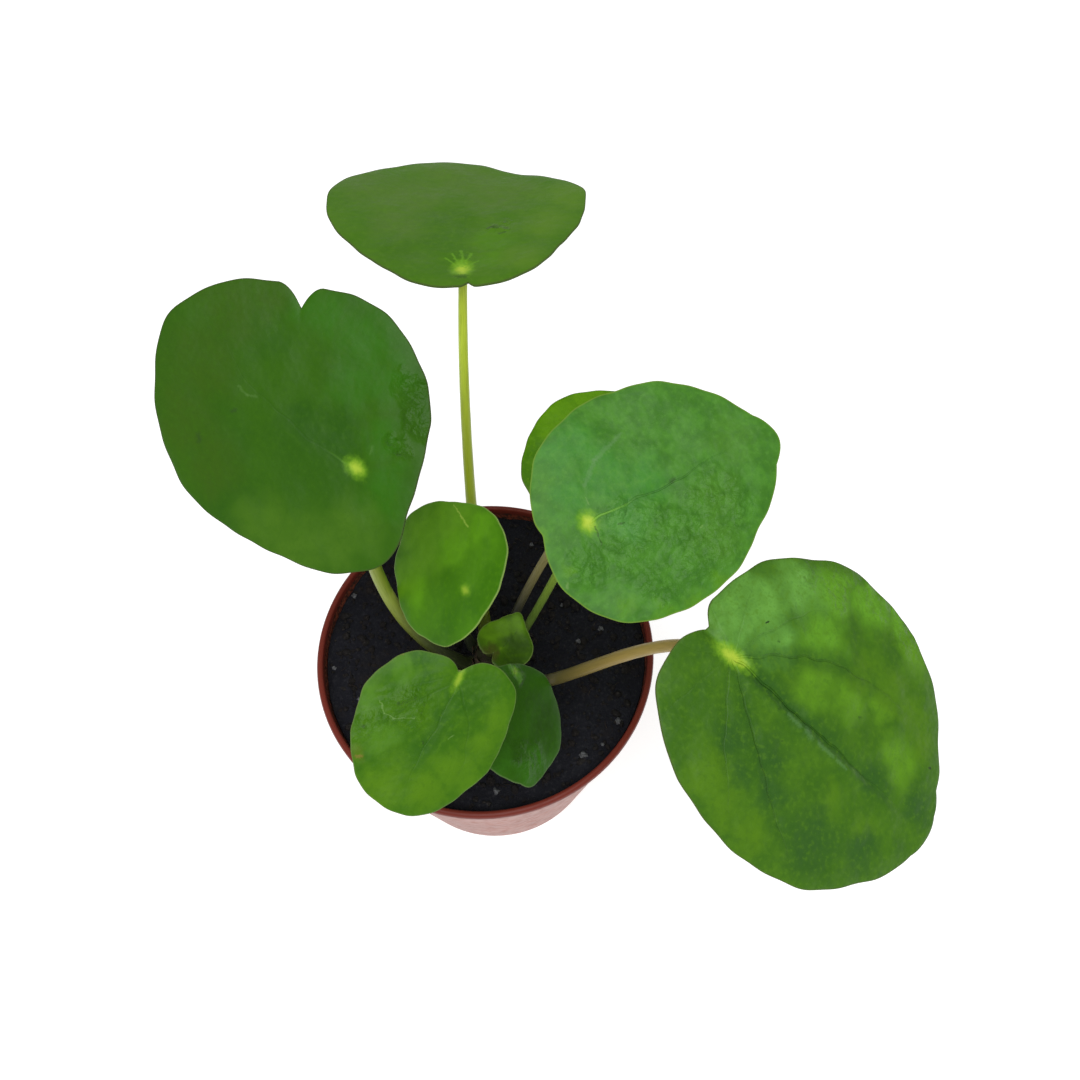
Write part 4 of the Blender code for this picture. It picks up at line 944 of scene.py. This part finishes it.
def blade_skin(name, look, plan, underside):
    """The leaf's skin, drawn in mm on the flat sheet so that it follows the veins and the outline."""
    skin, tree, shader = new_skin(name, 0.16)[:3]
    flat = wire(tree, "UVMap", uv_map="sheet").outputs[0]
    place = wire(tree, "Mapping", {0: flat, 1: (-50.0, -50.0, 0.0), 3: (100.0, 100.0, 1.0)}).outputs[0]
    slow_stir = wire(tree, "TexNoise", {"Vector": place, "Scale": 0.16, "Detail": 1.0}).outputs["Color"]
    stir = wire(tree, "TexNoise", {"Vector": place, "Scale": 0.7, "Detail": 2.0}).outputs["Color"]
    drawn = warp(tree, warp(tree, place, slow_stir, 8.0), stir, 2.0)
    edge = wire(tree, "Attribute", attribute_name="edge").outputs["Fac"]
    band_strength, band_width = look["bands"]
    line, band = vein_lines(tree, warp(tree, place, slow_stir, 2.2), plan, 0.36, band_width)
    ragged = step_between(tree, speckle(tree, place, 0.40, 3.0, 0.6), 0.36, 0.62, 0.70, 1.0)
    net = wire(tree, "TexVoronoi", {"Vector": drawn, "Scale": 0.38}, feature="DISTANCE_TO_EDGE").outputs[0]
    mesh_line = times(tree, step_between(tree, net, 0.0, 0.09, 1.0, 0.0),
                      step_between(tree, speckle(tree, place, 0.3, 2.0), 0.42, 0.62))
    shadow = (look["deep"][0] * 0.66, look["deep"][1] * 0.76, look["deep"][2] * 1.7, 1)
    colour = leaf_green(tree, look, place, drawn, ragged)
    colour = tint(tree, times(tree, band, times(tree, ragged, band_strength)), colour, shadow)
    colour = freckles(tree, look, place, colour, shadow)
    colour = tint(tree, times(tree, mesh_line, 0.10), colour, shadow)
    colour = seat_and_rays(tree, look, place, line, colour)
    if not underside:
        jagged = warp(tree, place, stir, 1.0)
        for mark in look["marks"]:
            colour = scratch(tree, place, jagged, mark, colour)
    colour = tint(tree, step_between(tree, edge, 0.02, 0.38, 0.7, 0.0), colour, (*look["edge"], 1))
    grain = speckle(tree, place, 3.5, 3.0)
    if underside:
        colour = tint(tree, 0.72, colour, UNDER_GREEN)
        pale = stronger(tree, times(tree, line, 0.8), times(tree, mesh_line, 0.35))
        colour = tint(tree, pale, colour, RIB_GREEN)
        lay_on(tree, shader, colour, step_between(tree, grain, 0.3, 0.7, 0.55, 0.70))
        rib = stronger(tree, line, times(tree, mesh_line, 0.5))
        emboss(tree, shader, calc(tree, "ADD", rib, times(tree, grain, 0.3)), 0.12)
        return skin
    lay_on(tree, shader, colour, calc(tree, "ADD", step_between(tree, grain, 0.3, 0.7, 0.34, 0.48),
                                      step_between(tree, edge, 0.0, 0.30, 0.4, 0.0)))
    relief = 0.12 + 0.22 * look["pucker"]
    if look["rough"]:
        wrinkled = areas(tree, drawn, look["rough"])
        relief = calc(tree, "MULTIPLY_ADD", wrinkled, times(tree, ragged, 1.15), relief)
    bumps = calc(tree, "MULTIPLY_ADD", speckle(tree, place, 0.9, 0.6, 0.5), 0.6,
                 speckle(tree, place, 0.42, 0.6, 0.5))
    height = times(tree, calc(tree, "MULTIPLY_ADD", grain, 0.08, bumps), relief)
    emboss(tree, shader, calc(tree, "SUBTRACT", height, times(tree, line, 0.3 * look["groove"])), 0.55)
    return skin


for name, leaf in BLADES.items():
    look = LOOKS[name]
    hand_over(lay_blade(name, leaf, look, vein_plan(leaf, look)), "blade", "blade_" + name)


# The leaf stalks: nine round, juicy stalks that leave the stem close together, arch out and up, and
# meet their blades square from below. Each is thicker at its foot and spreads a little at both ends.
# A row holds the foot and the two guides of the curve in mm, the radius at the foot and at the blade,
# the colours at the foot, along the middle and under the blade, and the shares of the length where
# the dark foot colour ends and the middle colour is full. The dark foot colour is painted shade under
# the leaves.
STALK_STEPS = 72
STALK_BORE = 6
STALK_RIBS = ((7, 0.022, 0.0, 0.03), (11, 0.015, 1.0, 0.0))
SEAT_GAP = 0.3
SEAT_SINK = 0.55
STALK_SQUARE = 1.5
FOOT_SINK = 1.6
STALKS = {
    "top": ((0.5, 0.3, 76.5), (-3.2, 18.8, 98.0), (-3.0, 34.7, 138.1), 1.75, 0.9,
            (0.10, 0.13, 0.005), (0.27, 0.34, 0.009), (0.46, 0.57, 0.032), (0.05, 0.45)),
    "left": ((-4.6, -5.8, 75.0), (-26.2, -4.7, 95.2), (-25.3, 6.1, 131.2), 1.8, 1.4,
             (0.025, 0.032, 0.012), (0.25, 0.31, 0.036), (0.37, 0.44, 0.065), (0.08, 0.48)),
    # The inner stalk is dark along its whole length: painted shade, for it stands in the shade under the
    # leaves.
    "inner": ((-3.2, -1.8, 78.5), (-6.5, -0.5, 90.0), (-3.0, -5.5, 106.0), 1.3, 0.9,
              (0.030, 0.036, 0.022), (0.050, 0.062, 0.026), (0.07, 0.095, 0.03), (0.05, 0.45)),
    "front": ((-1.3, -9.9, 77.0), (-5.2, -18.2, 87.4), (-4.1, -21.4, 107.3), 1.4, 1.0,
              (0.06, 0.07, 0.02), (0.16, 0.21, 0.04), (0.20, 0.28, 0.05), (0.05, 0.45)),
    "shaded": ((2.6, -9.9, 78.0), (3.9, -13.9, 82.7), (5.8, -15.8, 91.4), 1.1, 0.8,
               (0.05, 0.06, 0.02), (0.12, 0.16, 0.03), (0.18, 0.25, 0.05), (0.05, 0.45)),
    "young": ((2.2, -5.5, 82.3), (3.0, -6.4, 85.5), (4.4, -8.2, 89.0), 0.8, 0.6,
              (0.07, 0.085, 0.02), (0.14, 0.19, 0.04), (0.20, 0.27, 0.05), (0.05, 0.45)),
    "hidden": ((4.4, -0.5, 75.0), (9.9, 9.9, 88.1), (19.8, 13.8, 109.8), 1.25, 1.0,
               (0.030, 0.030, 0.020), (0.27, 0.23, 0.09), (0.32, 0.29, 0.11), (0.2, 0.55)),
    "upper_right": ((5.8, -3.6, 76.0), (14.8, 2.0, 92.1), (20.4, 1.4, 122.6), 1.1, 0.85,
                    (0.085, 0.140, 0.022), (0.22, 0.33, 0.035), (0.27, 0.44, 0.06), (0.25, 0.7)),
    "lower_right": ((5.8, -7.8, 74.5), (13.8, -23.4, 86.5), (40.1, -7.8, 111.2), 1.7, 1.3,
                    (0.035, 0.038, 0.015), (0.32, 0.225, 0.055), (0.38, 0.27, 0.075), (0.22, 0.7)),
}


def grow_stalk(name, leaf, foot, guide_a, guide_b, foot_radius, head_radius):
    """Sweeps a round section along the stalk's curve, then raises its fine ribs."""
    normal = blade_axes(leaf)[0]
    head = Vector(leaf["seat"]) - normal * (BLADE_THICKNESS + SEAT_GAP)
    foot, guide_a, guide_b = Vector(foot), Vector(guide_a), Vector(guide_b)
    square = head - normal * min(STALK_SQUARE, (head - foot).length * 0.2)
    line = []
    root = foot + (Vector((STEM_X, STEM_Y, foot.z - 1.2)) - foot).normalized() * FOOT_SINK
    line.append((root, foot_radius * 1.25))
    for i in range(STALK_STEPS + 1):
        t = i / STALK_STEPS
        u = 1 - t
        at = foot * u ** 3 + guide_a * 3 * u * u * t + guide_b * 3 * u * t * t + square * t ** 3
        radius = foot_radius + (head_radius - foot_radius) * t ** 0.7
        radius *= 1 + 0.28 * math.exp(-t * STALK_STEPS / 3.5) + 0.03 * noise.noise(at * 0.25)
        line.append((at, radius))
    line.append((head, head_radius * 1.12))
    line.append((head + normal * SEAT_SINK, head_radius * 1.75))
    curve = bpy.data.curves.new("stalk_" + name, "CURVE")
    curve.dimensions = "3D"
    curve.bevel_depth = MM
    curve.bevel_resolution = STALK_BORE
    curve.use_fill_caps = True
    path = curve.splines.new("POLY")
    path.points.add(len(line) - 1)
    for point, (at, radius) in zip(path.points, line):
        point.co = (*(at * MM), 1.0)
        point.radius = radius
    piece = bpy.data.objects.new("stalk_" + name, curve)
    bpy.context.scene.collection.objects.link(piece)
    pick(piece)
    bpy.ops.object.convert(target="MESH")
    piece = bpy.context.object
    mesh = piece.data
    at = points_of(piece) / MM
    spine = np.array([tuple(p) for p, radius in line])
    nearest = ((at[:, None, :] - spine[None]) ** 2).sum(-1).argmin(1)
    out = at - spine[nearest]
    ahead = np.gradient(spine, axis=0)[nearest]
    ahead /= np.linalg.norm(ahead, axis=1)[:, None]
    side = np.cross(ahead, (0.3, 1.0, 0.1))
    side /= np.linalg.norm(side, axis=1)[:, None]
    around = np.arctan2((out * np.cross(side, ahead)).sum(1), (out * side).sum(1))
    ribs = 1 + sum(rise * np.cos(count * around + phase + twist * nearest)
                   for count, rise, phase, twist in STALK_RIBS)
    at = spine[nearest] + out * ribs[:, None]
    mesh.vertices.foreach_set("co", (at * MM).ravel())
    mesh.attributes.new("along", "FLOAT", "POINT").data.foreach_set("value", nearest / (len(line) - 1))
    mesh.attributes.new("around", "FLOAT", "POINT").data.foreach_set("value", np.abs(around))
    bpy.ops.object.mode_set(mode="EDIT")
    bpy.ops.mesh.select_all(action="SELECT")
    bpy.ops.mesh.remove_doubles(threshold=0.00001)
    bpy.ops.mesh.normals_make_consistent(inside=False)
    bpy.ops.object.mode_set(mode="OBJECT")
    bpy.ops.object.shade_smooth_by_angle(angle=math.radians(60))
    return piece


def stalk_skin(name, foot, middle, head, change):
    skin, tree, shader, own = new_skin(name, 0.3)
    along = wire(tree, "Attribute", attribute_name="along").outputs["Fac"]
    around = wire(tree, "Attribute", attribute_name="around").outputs["Fac"]
    unrolled = wire(tree, "CombineXYZ", {0: times(tree, around, 3.0), 1: times(tree, along, 9.0)})
    streak = speckle(tree, unrolled.outputs[0], 1.6, 3.0)
    fleck = speckle(tree, own, 1800.0, 3.0)
    # The dark foot colour is painted shade, for the stalks' feet stand in the shade under the leaves.
    colour = tint(tree, step_between(tree, along, *change), (*foot, 1), (*middle, 1))
    colour = tint(tree, step_between(tree, along, 0.5, 0.85), colour, (*head, 1))
    dark = tuple(0.5 * (a + b) * 0.62 for a, b in zip(foot, middle))
    colour = tint(tree, step_between(tree, streak, 0.45, 0.75, 0.0, 0.35), colour, (*dark, 1))
    colour = tint(tree, step_between(tree, fleck, 0.62, 0.72, 0.0, 0.2), colour, (*head, 1))
    lay_on(tree, shader, colour, step_between(tree, streak, 0.3, 0.7, 0.30, 0.44))
    emboss(tree, shader, calc(tree, "ADD", streak, times(tree, fleck, 0.4)), 0.06)
    return skin


for name, (*route, low, middle, high, change) in STALKS.items():
    stalk = grow_stalk(name, BLADES[name], *route)
    clad(stalk, stalk_skin("stalk_skin_" + name, low, middle, high, change))
    hand_over(stalk, "petiole", "petiole_" + name)


# The setting: a plain pale floor under the pot, one large soft light overhead with an even pale
# surround, and the camera above and in front, looking down as in the photograph.
PHOTO_SIZE = 1080
FOCAL_PIXELS = 814
LOOK_DOWN = 58.94
SENSOR = 36.0
CAMERA_AT = (14.55, -88.57, 276.38)
SOFTBOX_AT = (-0.05, -0.55, 1.4)
FLOOR_GREY = (0.62, 0.62, 0.62, 1)
WHITE = (1.0, 1.0, 1.0, 1)

start_piece()
bpy.ops.mesh.primitive_plane_add(size=6.0, location=(0, 0, -0.0002))
floor = bpy.context.object
floor.name = "studio_floor"
skin, tree, shader = new_skin("pale_floor", 0.2, 0.7)[:3]
shader.inputs["Base Color"].default_value = FLOOR_GREY
shader.inputs["Emission Color"].default_value = WHITE
shader.inputs["Emission Strength"].default_value = 0.66
floor.data.materials.append(skin)

world = bpy.data.worlds.new("surround")
bpy.context.scene.world = world
world.use_nodes = True
world.node_tree.nodes["Background"].inputs[0].default_value = WHITE
world.node_tree.nodes["Background"].inputs[1].default_value = 0.38

bpy.ops.object.light_add(type="AREA", location=SOFTBOX_AT)
softbox = bpy.context.object
softbox.name = "softbox"
softbox.data.shape = "DISK"
softbox.data.size = 1.5
softbox.data.energy = 20.0
softbox.rotation_euler = (Vector((0, 0, 0.08)) - softbox.location).to_track_quat("-Z", "Y").to_euler()

bpy.ops.object.camera_add(location=Vector(CAMERA_AT) * MM, rotation=(math.radians(90 - LOOK_DOWN), 0, 0))
camera = bpy.context.object
camera.data.sensor_width = SENSOR
camera.data.lens = SENSOR * FOCAL_PIXELS / PHOTO_SIZE
camera.data.clip_start = 0.001
bpy.context.scene.camera = camera
bpy.context.scene.view_settings.view_transform = "Standard"
